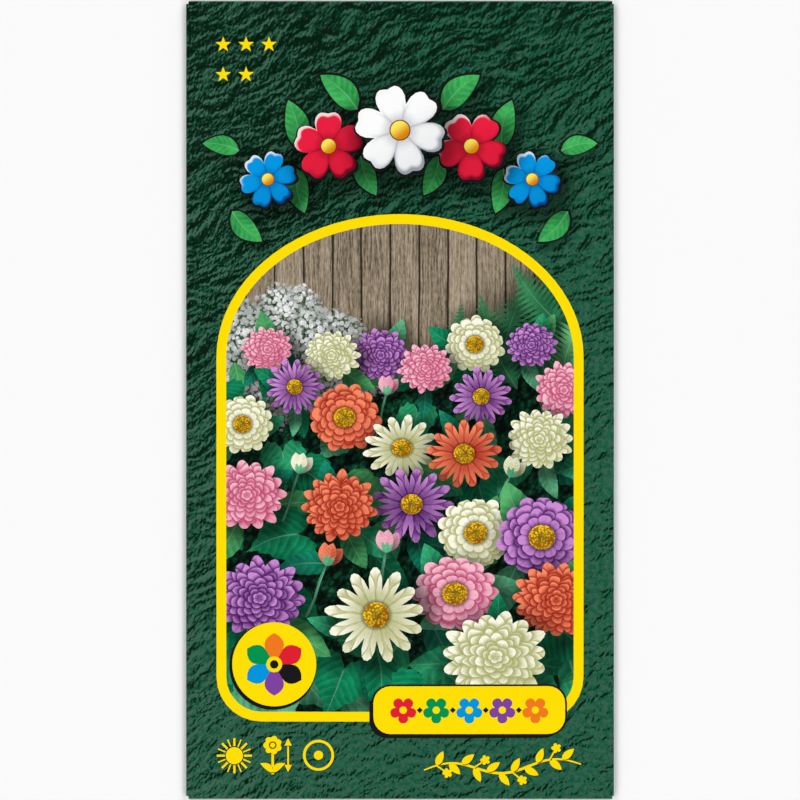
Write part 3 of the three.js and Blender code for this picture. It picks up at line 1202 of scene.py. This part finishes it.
def flower_ink(name, rings, dip, power, heart, wobble):
    """Rings of overlapping petals, each in the shadow of the ring above it, round a heart."""
    graph = Graph(f"{name}_ink")
    x, y, radius, angle, seed = round_middle(graph)
    loose = graph.noise(graph.vector(x, y, seed), 2.6, 1.0) - 0.5
    crinkle = graph.noise(graph.attribute("flat"), 1.7, 3.0, 0.7) - 0.5
    tone = None
    for number, (petals, reach, phase) in enumerate(rings):
        swung = angle + loose * wobble if number else angle
        gap, petal = petal_place(swung, petals, phase)
        own = graph.noise(graph.vector(petal * 3.7, number * 5.3, seed), 1.0, 0.0) - 0.5
        start = rings[number + 1][1] * 0.8 if number + 1 < len(rings) else reach * 0.35
        length = radius.step(start, reach * 0.96)
        lengthwise = graph.vector(swung * (petals * 1.3), radius * 2.2, seed)
        streak = graph.noise(lengthwise, 1.0, 2.0, 0.7) - 0.5
        crease = gap.step(0.2, 0.0) * (length * -0.16)
        cup = gap.step(0.3, 0.75) * 0.12 - gap**4 * 0.5
        face = length * 0.62 + 0.27 + streak * 0.5 + crease + cup + own * 0.7
        if tone is None:
            tone = face
            continue
        beyond = radius - reach * (1 - dip * gap**power) * (own * 0.34 + 1.0)
        tone = tone * beyond.step(-0.01, 0.15, (0.08, 1.0))
        inside = beyond.step(0.006, -0.006)
        rim = beyond.step(-0.045, 0.0) * 0.16
        tone = tone * (1 - inside) + (face + rim) * inside
    tone = tone * (graph.number("lit") * 0.34 + 0.97) + crinkle * 0.3
    light, dark = graph.own_colours()
    colour = graph.mix(tone, dark, light)
    if heart:
        colour = flower_heart(graph, colour, x, y, radius, heart)
    return printed(graph, colour)


def flower_heart(graph, colour, x, y, radius, heart):
    """A golden domed heart of tiny florets, green at its middle."""
    bead = graph.cells(graph.vector(x, y), 20.0).step(0.15, 0.7, (1.15, 0.2))
    dome = graph.number("lit").step(-0.8 * heart, 0.8 * heart, (0.55, 1.1))
    gold = graph.mix(radius.step(heart * 0.6, heart * 0.3), ink(255, 206, 34), ink(196, 176, 40))
    gold = graph.mix(bead * dome, ink(112, 50, 6), gold)
    under = graph.scaled(colour, radius.step(heart, heart * 1.35, (0.4, 1.0)))
    return graph.mix(radius.step(heart + 0.01, heart - 0.01), under, gold)


def enamel_ink(petals):
    """A flower as if cast in glossy enamel: lit at its upper left edges and dark at the lower right."""
    graph = Graph(f"enamel{petals}_ink")
    _, _, radius, angle, _ = round_middle(graph)
    gap, _ = petal_place(angle, petals)
    notch = ((gap / NOTCH_HALF) ** 2.0 * -1.0).maths("EXPONENT")
    edge = 1 - ENAMEL["dip"] * gap ** ENAMEL["power"] - notch * ENAMEL["notch"]
    lit = graph.number("lit")
    facing = lit / radius.maths("MAXIMUM", 0.05)
    bevel = (edge - radius).step(0.17, 0.02)
    tone = 0.66 + facing * bevel * 0.7 + lit * 0.14 - gap**6.0 * 0.4
    tone = tone * radius.step(0.16, 0.5, (0.45, 1.0))
    light, dark = graph.own_colours()
    colour = graph.mix(tone / 0.7, dark, light)
    colour = graph.mix(tone.step(0.84, 1.3) * 0.75, colour, WHITE)
    disc = graph.mix(lit.step(-0.16, 0.16), ink(214, 128, 8), ink(255, 232, 90))
    colour = graph.mix(radius.step(0.235, 0.225), colour, ink(110, 52, 6))
    colour = graph.mix(radius.step(0.212, 0.2), colour, disc)
    return printed(graph, colour)


def leaf_ink(name, rib_half, veining):
    """A leaf with a pale rib and side veins, its skin puffed between them, one half more lit."""
    graph = Graph(name)
    flat = graph.attribute("flat")
    x, y, bend = graph.parts(graph.attribute("local"))
    y = y - (x.maths("MAXIMUM", 0.0).maths("MINIMUM", 1.0) * math.pi).maths("SINE") * bend
    side = abs(y)
    rib = (side / (1.15 - x)).step(rib_half, rib_half * 0.4)
    loose = graph.noise(flat, 0.45, 1.0) * 0.08
    share = (x - side * 0.55 - side * side * 1.1 + loose) * 6.5 % 1.0
    vein = abs(share - 0.5).step(0.45, 0.5) * side.step(0.42, 0.05)
    puff = ((share + 0.12) * TAU).maths("SINE") * side.step(0.0, 0.14) * 0.12
    net = graph.cells(flat, 1.3, feature="DISTANCE_TO_EDGE")
    crinkle = graph.noise(flat, 0.9, 3.0, 0.65) - 0.5
    tone = graph.noise(flat, 0.2, 3.0, 0.6).step(0.25, 0.75) * 0.6 + crinkle * 0.3 + 0.14
    tone = tone + puff * veining + y.step(-0.05, 0.05) * 0.16 + x.step(0.0, 1.0) * 0.14
    tone = tone * net.step(0.0, 0.16, (0.9, 1.0)) + graph.number("lit") * 0.12
    light, dark = graph.own_colours()
    pale = graph.mix(0.16, light, WHITE)
    lines = (rib * 0.55).maths("MAXIMUM", vein * (0.3 * veining))
    return printed(graph, graph.mix(lines, graph.mix(tone, dark, light), pale))


# The mounds of small white blossoms in front of the fence: middle, half width, half height.
MOUNDS = (
    (-31, 11, 8.5, 8.0),
    (-21, 14, 7.5, 7.5),
    (-12, 10, 6.5, 6.5),
    (-4, 6, 5.5, 5.0),
    (-27, 2, 10.0, 8.0),
    (-15, 3, 9.0, 7.0),
)


def mound_depth(u, v):
    """How deep a place lies in the mounds: 1 in the middle of one, 0 at their edge and less beyond."""
    away = None
    for middle_u, middle_v, half, rise in MOUNDS:
        own = ((u - middle_u) / half) ** 2.0 + ((v - middle_v) / rise) ** 2.0
        away = own if away is None else away.maths("MINIMUM", own)
    return 1 - away


def with_blossoms(graph, flat, colour):
    """Adds mounds of tiny white blossoms in domed heads, loose at the mounds' edges."""
    u, v, _ = graph.parts(flat)
    depth = mound_depth(u, v) + (graph.noise(flat, 0.35, 2.0) - 0.5) * 0.7
    leaves = graph.mix(graph.noise(flat, 1.6, 2.0).step(0.3, 0.7), ink(22, 52, 36), ink(96, 118, 88))
    colour = graph.mix(depth.step(0.0, 0.3), colour, leaves)
    head = graph.cells(graph.vector(u + 0.5, v - 0.7), 0.2).step(0.8, 0.3)
    for layer, (scale, dim) in enumerate(((1.5, 0.3), (1.2, 0.65), (1.0, 1.0))):
        place = graph.vector(u, v, 7.3 * layer)
        near = graph.cells(place, scale)
        own = graph.parts(graph.cells(place, scale, "Color"))[0]
        petals = graph.cells(place, 4.2 * scale).step(0.55, 0.05, (0.45, 1.0))
        tone = petals * (own * 0.3 + 0.7) * (head * 0.6 + 0.4) * dim
        floret = graph.mix(tone.step(0.0, 0.62), ink(146, 152, 150), ink(255, 254, 255))
        floret = graph.mix(near.step(0.14, 0.05), floret, ink(190, 198, 126))
        there = (depth - own * 0.5).step(-0.3, -0.2) * near.step(0.48, 0.42)
        colour = graph.mix(there, colour, floret)
    return colour


def backdrop_ink():
    """What lies behind the flowers: a weathered fence, with dark leaves and white blossoms below."""
    graph = Graph("backdrop_ink")
    flat = graph.attribute("flat")
    u, v, _ = graph.parts(flat)
    sway = graph.noise(graph.vector(u * 0.3, v * 0.06), 1.0, 1.0) * 1.4
    board = (u + sway * 0.3) / 5.4 + 0.3
    number, share = board.maths("FLOOR"), board % 1.0
    own = graph.noise(graph.vector(number * 4.3, 0.0), 1.0, 0.0)
    grain = graph.noise(graph.vector((u + sway) * 2.6, v * 0.09, number), 1.0, 4.0, 0.7)
    pits = graph.noise(graph.vector(u * 3.4, v * 0.7, number), 1.0, 3.0, 0.7)
    tone = grain.step(0.34, 0.66) * 0.6 + pits.step(0.35, 0.65) * 0.4 + own.step(0.25, 0.75) * 0.3 - 0.14
    wood = graph.mix(tone, ink(78, 66, 52), ink(184, 168, 144))
    wood = graph.mix(grain.step(0.36, 0.3) * 0.6, wood, ink(58, 48, 38))
    wood = graph.mix(graph.noise(flat, 0.2, 1.0).step(0.5, 0.8) * 0.35, wood, ink(126, 122, 92))
    wood = graph.mix(abs(share - 0.5).step(0.44, 0.49), wood, ink(38, 32, 26))
    clump = graph.cells(graph.turned(u, v, 0.9, 0.75, 1.25), 1.0)
    small = graph.noise(flat, 0.9, 3.0, 0.65)
    leaves = clump.step(0.85, 0.15) * small.step(0.3, 0.65)
    shrub = graph.mix(leaves, ink(0, 18, 11), ink(26, 108, 72))
    edge = graph.noise(flat, 0.5, 3.0, 0.6) * 5.0 - u.step(12.0, 30.0) * 11.0
    colour = graph.mix((v + edge).step(10.0, 11.5), shrub, wood)
    return printed(graph, with_blossoms(graph, flat, colour))


def cream_ink():
    """The pale ink of the back's panel."""
    graph = Graph("cream_ink")
    cloud = graph.noise(graph.attribute("flat"), 0.4)
    return printed(graph, graph.mix(cloud, CREAM, ink(242, 232, 198)))


def bare_paper():
    """White uncoated paper: the sheet's inside and its cut edges."""
    graph = Graph("bare_paper")
    flat = graph.attribute("flat")
    fibres = graph.noise(flat, 3.0, 4.0, 0.7)
    colour = graph.mix(fibres.step(0.3, 0.7), ink(238, 236, 228), ink(250, 249, 244))
    return graph.finish(colour, 0.8, paper_grain(graph, flat))


INKS = {
    "ground": ground_ink(),
    "plain": plain_ink(),
    "leaf": leaf_ink("leaf_ink", 0.017, 1.0),
    "frond": leaf_ink("frond_ink", 0.008, 0.0),
    "backdrop": backdrop_ink(),
    "enamel5": enamel_ink(5),
    "enamel6": enamel_ink(6),
    "cream": cream_ink(),
    "paper": bare_paper(),
}
for kind, spec in FLOWERS.items():
    INKS[kind] = flower_ink(kind, **spec)


# ---------------------------------------------------------------- the sheet as one piece


INNER, RIM = -1, -2

# The texture's islands: the patches that each holds, the flat place of its corner, its scale, where that
# corner goes, and whether it's turned on its side.
ISLANDS = (
    ((0,), (-LEFT, -END), 1 / 151, (0.003, 0.005), False),
    ((1, 2), (-LEFT - 80, -75), 1 / 185, (0.55, 0.19), False),
    ((3, 4), (RIGHT, -75), 1 / 370, (0.55, 0.075), True),
    ((5, 6), (-41, -END - 21), 1 / 370, (0.55, 0.12), False),
    ((7, 8), (-41, END), 1 / 370, (0.775, 0.12), False),
    ((INNER,), (-LEFT - 80, -END - 22), 1 / 3300, (0.55, 0.005), False),
)
RIM_CELLS = {"left": 0.63, "bottom": 0.005, "columns": 60, "width": 0.006, "height": 0.005}


def texture_places(flat, patch_of, face_of):
    """Where each corner lies on the piece's texture."""
    places = np.zeros((len(flat), 2))
    for patches, corner, scale, to, on_side in ISLANDS:
        own = np.isin(patch_of[face_of], patches)
        local = (flat[own] - corner) * scale
        places[own] = np.array(to) + (local[:, ::-1] if on_side else local)
    cells = RIM_CELLS
    w, h = 0.7 * cells["width"], 0.7 * cells["height"]
    for number, quad in enumerate(np.flatnonzero(patch_of == RIM)):
        row, column = divmod(number, cells["columns"])
        x = cells["left"] + column * cells["width"]
        y = cells["bottom"] + row * cells["height"]
        places[face_of == quad] = [(x, y), (x + w, y), (x + w, y + h), (x, y + h)]
    return places


def mesh_of(name, points, faces, materials, smooth=True):
    """A mesh from points in millimetres."""
    mesh = bpy.data.meshes.new(name)
    mesh.from_pydata(points * MM, [], faces)
    for material in materials:
        mesh.materials.append(material)
    mesh.polygons.foreach_set("use_smooth", np.full(len(faces), smooth))
    return mesh


def in_scene(name, data):
    """Puts a mesh, a lamp or a camera into the scene."""
    thing = bpy.data.objects.new(name, data)
    bpy.context.collection.objects.link(thing)
    return thing


def placed(name, mesh, node):
    """Puts a mesh into the scene as the piece that stands for a solid."""
    piece = in_scene(name, mesh)
    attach(piece, "root")
    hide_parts(node)


def store(mesh, name, kind, domain, values):
    """Writes values to the mesh for its materials to read."""
    key = {"FLOAT": "value", "FLOAT_VECTOR": "vector", "FLOAT_COLOR": "color"}[kind]
    layer = mesh.attributes.new(name, kind, domain)
    layer.data.foreach_set(key, np.ascontiguousarray(values, np.float32).ravel())


def dress(mesh, flat, corner_shape, face_shape):
    """Gives the mesh what the inks read: flat places, each shape's own frame, colours and shade."""
    local = np.zeros((len(flat), 3))
    lit = np.zeros(len(flat))
    shade = np.ones(len(flat))
    for number, shape in enumerate(all_shapes):
        own = corner_shape == number
        local[own, :2] = shape.local(flat[own])
        local[own, 2] = shape.seed
        lit[own] = shape.lit(flat[own])
        if shape.cast:
            under = corner_shape < number
            if shape.framed:
                under &= corner_shape >= 1
            shade[under] *= shape.light_left(flat[under])
    store(mesh, "flat", "FLOAT_VECTOR", "CORNER", np.column_stack([flat, np.zeros(len(flat))]))
    store(mesh, "local", "FLOAT_VECTOR", "CORNER", local)
    store(mesh, "lit", "FLOAT", "CORNER", lit)
    store(mesh, "shade", "FLOAT", "CORNER", np.clip(shade, 0.2, 1))
    for tone in ("light", "dark"):
        colours = [(*getattr(all_shapes[k], tone), 1) if k >= 0 else (1, 1, 1, 1) for k in face_shape]
        store(mesh, f"ink_{tone}", "FLOAT_COLOR", "FACE", colours)


def build_sheet():
    """The printed, folded sheet: its outer face, its inner face and the cut edge between them."""
    half_u, half_v = FINE_HALF
    coarse = spots_in(-LEFT, RIGHT, -END, END, SHEET_GAP)
    spots = [(u, v) for u, v in coarse if abs(u) > half_u or abs(v) > half_v]
    spots += spots_in(-half_u, half_u, -half_v, half_v, FINE_GAP)
    outer_patches = sheet_patches(front_shapes, back_shapes, spots)
    inner_patches = sheet_patches([], [], spots_in(-LEFT, RIGHT, -END, END, INNER_GAP))
    points, triangles, index = joined(outer_patches)
    inner_points, inner_triangles, inner_index = joined(inner_patches)
    outer_place, outer_facing = folded(points, PAPER / 2)
    inner_place, inner_facing = folded(inner_points, -PAPER / 2)
    offset = len(points)
    faces, inks, patch_of, shown = [], [], [], []

    def add(ring, ink_name, patch, shape=-1):
        faces.append(ring)
        inks.append(ink_name)
        patch_of.append(patch)
        shown.append(shape)

    for ring, patch, top in triangles:
        add(ring, all_shapes[top].ink if top >= 0 else "ground", patch, top)
    for ring, _, _ in inner_triangles:
        add(tuple(offset + k for k in reversed(ring)), "paper", INNER)
    flat_key = {k: key for key, k in index.items()}
    for a, b in rim_edges(triangles):
        c, d = inner_index[flat_key[b]] + offset, inner_index[flat_key[a]] + offset
        add((b, a, d, c), "paper", RIM)
    patch_of, shown = np.array(patch_of), np.array(shown)
    mesh = mesh_of("printed_envelope", np.concatenate([outer_place, inner_place]), faces, INKS.values())
    slots = {name: number for number, name in enumerate(INKS)}
    mesh.polygons.foreach_set("material_index", [slots[name] for name in inks])
    loops = np.empty(len(mesh.loops), np.int32)
    mesh.loops.foreach_get("vertex_index", loops)
    face_of = np.repeat(np.arange(len(faces)), [len(f) for f in faces])
    flat = np.concatenate([points, inner_points])[loops]
    dress(mesh, flat, shown[face_of], shown)
    texture = mesh.uv_layers.new(name="OFBake")
    texture.data.foreach_set("uv", texture_places(flat, patch_of, face_of).ravel())
    normals = np.concatenate([outer_facing, -inner_facing])[loops]
    on_rim = patch_of[face_of] == RIM
    own_normals = np.empty(len(faces) * 3)
    mesh.polygons.foreach_get("normal", own_normals)
    normals[on_rim] = own_normals.reshape(-1, 3)[face_of[on_rim]]
    mesh.normals_split_custom_set(normals)
    placed("printed_envelope", mesh, "paper_envelope")


build_sheet()


# ---------------------------------------------------------------- what the packet holds


SACHET = {"middle": np.array([-2.0, -9.0]), "width": 54.0, "height": 88.0, "film": 0.15, "seal": 4.0}
SEAL_EDGE, CRIMP = 0.3, 0.9  # how wide the seal's edge fades, and the pitch of its crimps
FILM_GAP = 0.9  # between the film's points
POUCH_RISE, POUCH_POWER, POUCH_OVER_SEED = 0.5, 3.4, 1.8
FILM_Z = BACK_Z + PAPER / 2 + 1.5 * SACHET["film"]
HEAP_HALF = (11.6, 5.2)
SEED = {"length": 3.1, "width": 2.2, "thick": 1.5, "pitch": (2.6, 1.8), "lift": 0.05}
SEED_SWING = {"tilt": 0.1, "turn": 0.6}


def object_place(graph):
    """A place on a piece, in millimetres."""
    return graph.scaled(graph.node("ShaderNodeTexCoord", out="Object"), 1 / MM)


def dried_glue():
    """A thin, yellowish glue line, with streaks where it was drawn on, and small bubbles."""
    graph = Graph("dried_glue")
    place = object_place(graph)
    x, y, z = graph.parts(place)
    streak = graph.noise(graph.vector(x * 0.35, y * 1.6, z), 1.0, 3.0, 0.6)
    bubble = graph.cells(place, 1.4).step(0.16, 0.06)
    colour = graph.mix(streak.step(0.3, 0.7), ink(206, 196, 160), ink(236, 230, 206))
    colour = graph.mix(bubble * 0.5, colour, ink(248, 246, 236))
    relief = streak * 0.6 + bubble * 0.4
    return graph.finish(colour, streak.step(0.2, 0.8, (0.28, 0.5)), relief, 0.03, 0.5)


def glassine():
    """Thin glazed paper with cloudy fibres, and a crimped seal round its edge."""
    graph = Graph("glassine")
    place = object_place(graph)
    x, y, _ = graph.parts(place)
    sealed = None
    for along, middle, span in zip((x, y), SACHET["middle"], (SACHET["width"], SACHET["height"])):
        inner = span / 2 - SACHET["seal"]
        own = abs(along - float(middle)).step(inner - SEAL_EDGE, inner)
        sealed = own if sealed is None else sealed.maths("MAXIMUM", own)
    crimp = ((x + y) * (TAU / CRIMP)).maths("SINE") * ((x - y) * (TAU / CRIMP)).maths("SINE")
    cloud = graph.noise(place, 0.9, 4.0, 0.65)
    fibre = graph.noise(graph.vector(x * 0.8, y * 3.2), 1.6, 3.0, 0.6)
    colour = graph.mix(cloud.step(0.3, 0.7), ink(222, 216, 198), ink(242, 239, 228))
    colour = graph.mix(sealed * (crimp * 0.25 + 0.3), colour, ink(204, 198, 178))
    relief = fibre * 0.15 + sealed * crimp * 0.5
    return graph.finish(colour, cloud.step(0.3, 0.7, (0.28, 0.42)), relief, 0.05, 0.5)


def seed_coat():
    """A dark, smooth nutlet with paler speckles and a pale scar at its end."""
    graph = Graph("seed_coat")
    x, y, z = graph.parts(graph.attribute("nutlet"))
    own = graph.number("own")
    place = graph.vector(x, y, z + own * 20.0)
    speckle = graph.noise(place, 3.4, 3.0, 0.7).step(0.5, 0.62)
    colour = graph.mix(own, ink(46, 28, 18), ink(84, 54, 32))
    colour = graph.mix(speckle * 0.6, colour, ink(122, 88, 58))
    colour = graph.mix(x.step(-0.43, -0.48), colour, ink(200, 176, 140))
    return graph.finish(colour, 0.55, graph.noise(place, 12.0, 3.0, 0.6), 0.04, 0.4)


def film_rise(x, y):
    """How far the sachet's upper film stands above its seal."""
    bag_width = SACHET["width"] / 2 - SACHET["seal"]
    bag_height = SACHET["height"] / 2 - SACHET["seal"]
    held = fade(x / bag_width, POUCH_POWER) * fade(y / bag_height, POUCH_POWER)
    u, v = x + SACHET["middle"][0], y + SACHET["middle"][1]
    return held * (POUCH_RISE + POUCH_OVER_SEED * drape(u, v, 1))


def build_film(material):
    """The sachet's upper film, flat at its seal and domed over the seed."""
    xs, ys = (evenly(-SACHET[key] / 2, SACHET[key] / 2, FILM_GAP) for key in ("width", "height"))
    grid = np.array([(x, y) for y in ys for x in xs])
    place = np.column_stack([grid + SACHET["middle"], FILM_Z + film_rise(*grid.T)])
    half = [0, 0, SACHET["film"] / 2]
    across, count = len(xs), len(grid)
    faces = []
    for ring in grid_rings(len(ys), across):
        faces += [ring, tuple(count + k for k in reversed(ring))]
    bottom = list(range(across))
    right = list(range(across - 1, count, across))
    top = list(range(count - 1, count - 1 - across, -1))
    left = list(range(count - across, -1, -across))
    rim = bottom[:-1] + right[:-1] + top[:-1] + left[:-1]
    smooth = [True] * len(faces) + [False] * len(rim)
    faces += [(b, a, count + a, count + b) for a, b in zip(rim, rim[1:] + rim[:1])]
    points = np.concatenate([place + half, place - half])
    mesh = mesh_of("sachet_film", points, faces, [material], smooth)
    placed("sachet_film", mesh, "sachet_upper_film")


def seed_draws(state=20):
    """The same draws as the part's own, from 0 to 1."""
    while True:
        state = (state * 1664525 + 1013904223) % 2**32
        yield state / 2**32


def nutlet(sides=18, rings=12):
    """One seed's points and faces, about the origin, one unit long, wide and thick."""
    points = [(-0.5, 0, 0)]
    for ring in range(1, rings):
        turn = math.pi * ring / rings
        along, round_it = -0.5 * math.cos(turn), 0.5 * math.sin(turn) * (1 + 0.08 * math.cos(turn))
        points += [(along, *heading(TAU * side / sides, round_it)) for side in range(sides)]
    points.append((0.5, 0, 0))
    faces = []
    for side in range(sides):
        after = (side + 1) % sides
        faces.append((0, 1 + after, 1 + side))
        for ring in range(rings - 2):
            a, b = 1 + ring * sides, 1 + (ring + 1) * sides
            faces.append((a + side, a + after, b + after, b + side))
        last = 1 + (rings - 2) * sides
        faces.append((last + side, last + after, len(points) - 1))
    return np.array(points), faces


def build_seed(material):
    """The heap of nutlets, each where the part has it."""
    draw = seed_draws()
    shape, shape_faces = nutlet()
    sized = shape * [SEED["length"], SEED["width"], SEED["thick"]]
    points, faces, own = [], [], []
    rows, columns = (int(half // pitch) for half, pitch in zip(HEAP_HALF[::-1], SEED["pitch"][::-1]))
    middle_z = BACK_Z + PAPER / 2 + SACHET["film"] + SEED["lift"] + SEED["thick"] / 2
    for row in range(-rows, rows + 1):
        for column in range(-columns, columns + 1):
            x, y = (column + row % 2 / 2) * SEED["pitch"][0], row * SEED["pitch"][1]
            turn = (next(draw) - 0.5) * SEED_SWING["turn"]
            tilt = (next(draw) - 0.5) * SEED_SWING["tilt"]
            if (x / HEAP_HALF[0]) ** 2 + (y / HEAP_HALF[1]) ** 2 > 1:
                continue
            swing = Matrix.Rotation(turn, 3, "Z") @ Matrix.Rotation(-tilt, 3, "Y")
            faces += [tuple(k + len(own) for k in face) for face in shape_faces]
            points.append(sized @ np.array(swing).T + [HEAP[0] + x, HEAP[1] + y, middle_z])
            own += [turn / SEED_SWING["turn"] + 0.5] * len(shape)
    mesh = mesh_of("seeds", np.concatenate(points), faces, [material])
    store(mesh, "own", "FLOAT", "POINT", own)
    store(mesh, "nutlet", "FLOAT_VECTOR", "POINT", np.tile(shape, (len(points), 1)))
    placed("seeds", mesh, "seed_heap")


# The solids that are shown as they are get materials of their own.
glue, film = dried_glue(), glassine()
for node in ("seam_glue", "bottom_flap_glue", "top_flap_glue"):
    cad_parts[node].material_slots[0].material = glue
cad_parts["sachet_lower_film"].material_slots[0].material = film
build_film(film)
build_seed(seed_coat())


# ---------------------------------------------------------------- the stage


SKY = (0.36, 0.04)  # how bright it is all round, and overhead
LAMP = {"power": 10.0, "size": 0.9, "away": 1.3, "up": 1.1}
FLOOR = 6000.0  # how wide it is, in millimetres
VIEW_HEIGHT = 150.3  # what the camera sees of the front, in millimetres


def floor():
    """A pale, even floor."""
    graph = Graph("pale_floor")
    place = graph.node("ShaderNodeTexCoord", out="Object")
    colour = graph.mix(graph.noise(place, 3.0, 2.0), (0.94, 0.94, 0.94), (0.95, 0.95, 0.95))
    corners = np.column_stack([box_outline(FLOOR, FLOOR), np.zeros(4)])
    material = graph.finish(colour, 0.9, specular=0.1)
    piece = in_scene("floor", mesh_of("floor", corners, [(0, 1, 2, 3)], [material]))


def area_light(name, place):
    """A square lamp that faces the packet."""
    light = bpy.data.lights.new(name, "AREA")
    light.shape, light.size, light.energy = "SQUARE", LAMP["size"], LAMP["power"]
    lamp = in_scene(name, light)
    lamp.location = place
    lamp.rotation_euler = (-Vector(place)).to_track_quat("-Z", "Y").to_euler()


def light_all_round():
    """Even light from the sides, and a dark ceiling, so that the varnish shows no glare from above."""
    graph = Graph("studio", "worlds")
    up = graph.parts(graph.node("ShaderNodeTexCoord", out="Generated"))[2]
    values = {"Color": (1, 1, 1), "Strength": up.step(0.5, 0.85, SKY)}
    glow = graph.node("ShaderNodeBackground", None, values)
    graph.node("ShaderNodeOutputWorld", None, {"Surface": glow})
    bpy.context.scene.world = graph.owner


def stage():
    """The floor, the lights and the camera straight above the front."""
    floor()
    for k in range(4):
        area_light(f"soft_{k}", (*heading((2 * k + 1) * math.pi / 4, LAMP["away"]), LAMP["up"]))
    light_all_round()
    camera = bpy.data.cameras.new("camera")
    camera.lens, camera.sensor_width = 150.0, 36.0
    camera.clip_end = 10
    eye = in_scene("camera", camera)
    eye.location = (0, 0, (FRONT_Z + VIEW_HEIGHT * camera.lens / camera.sensor_width) * MM)
    bpy.context.scene.camera = eye
    bpy.context.scene.view_settings.view_transform = "Standard"


stage()
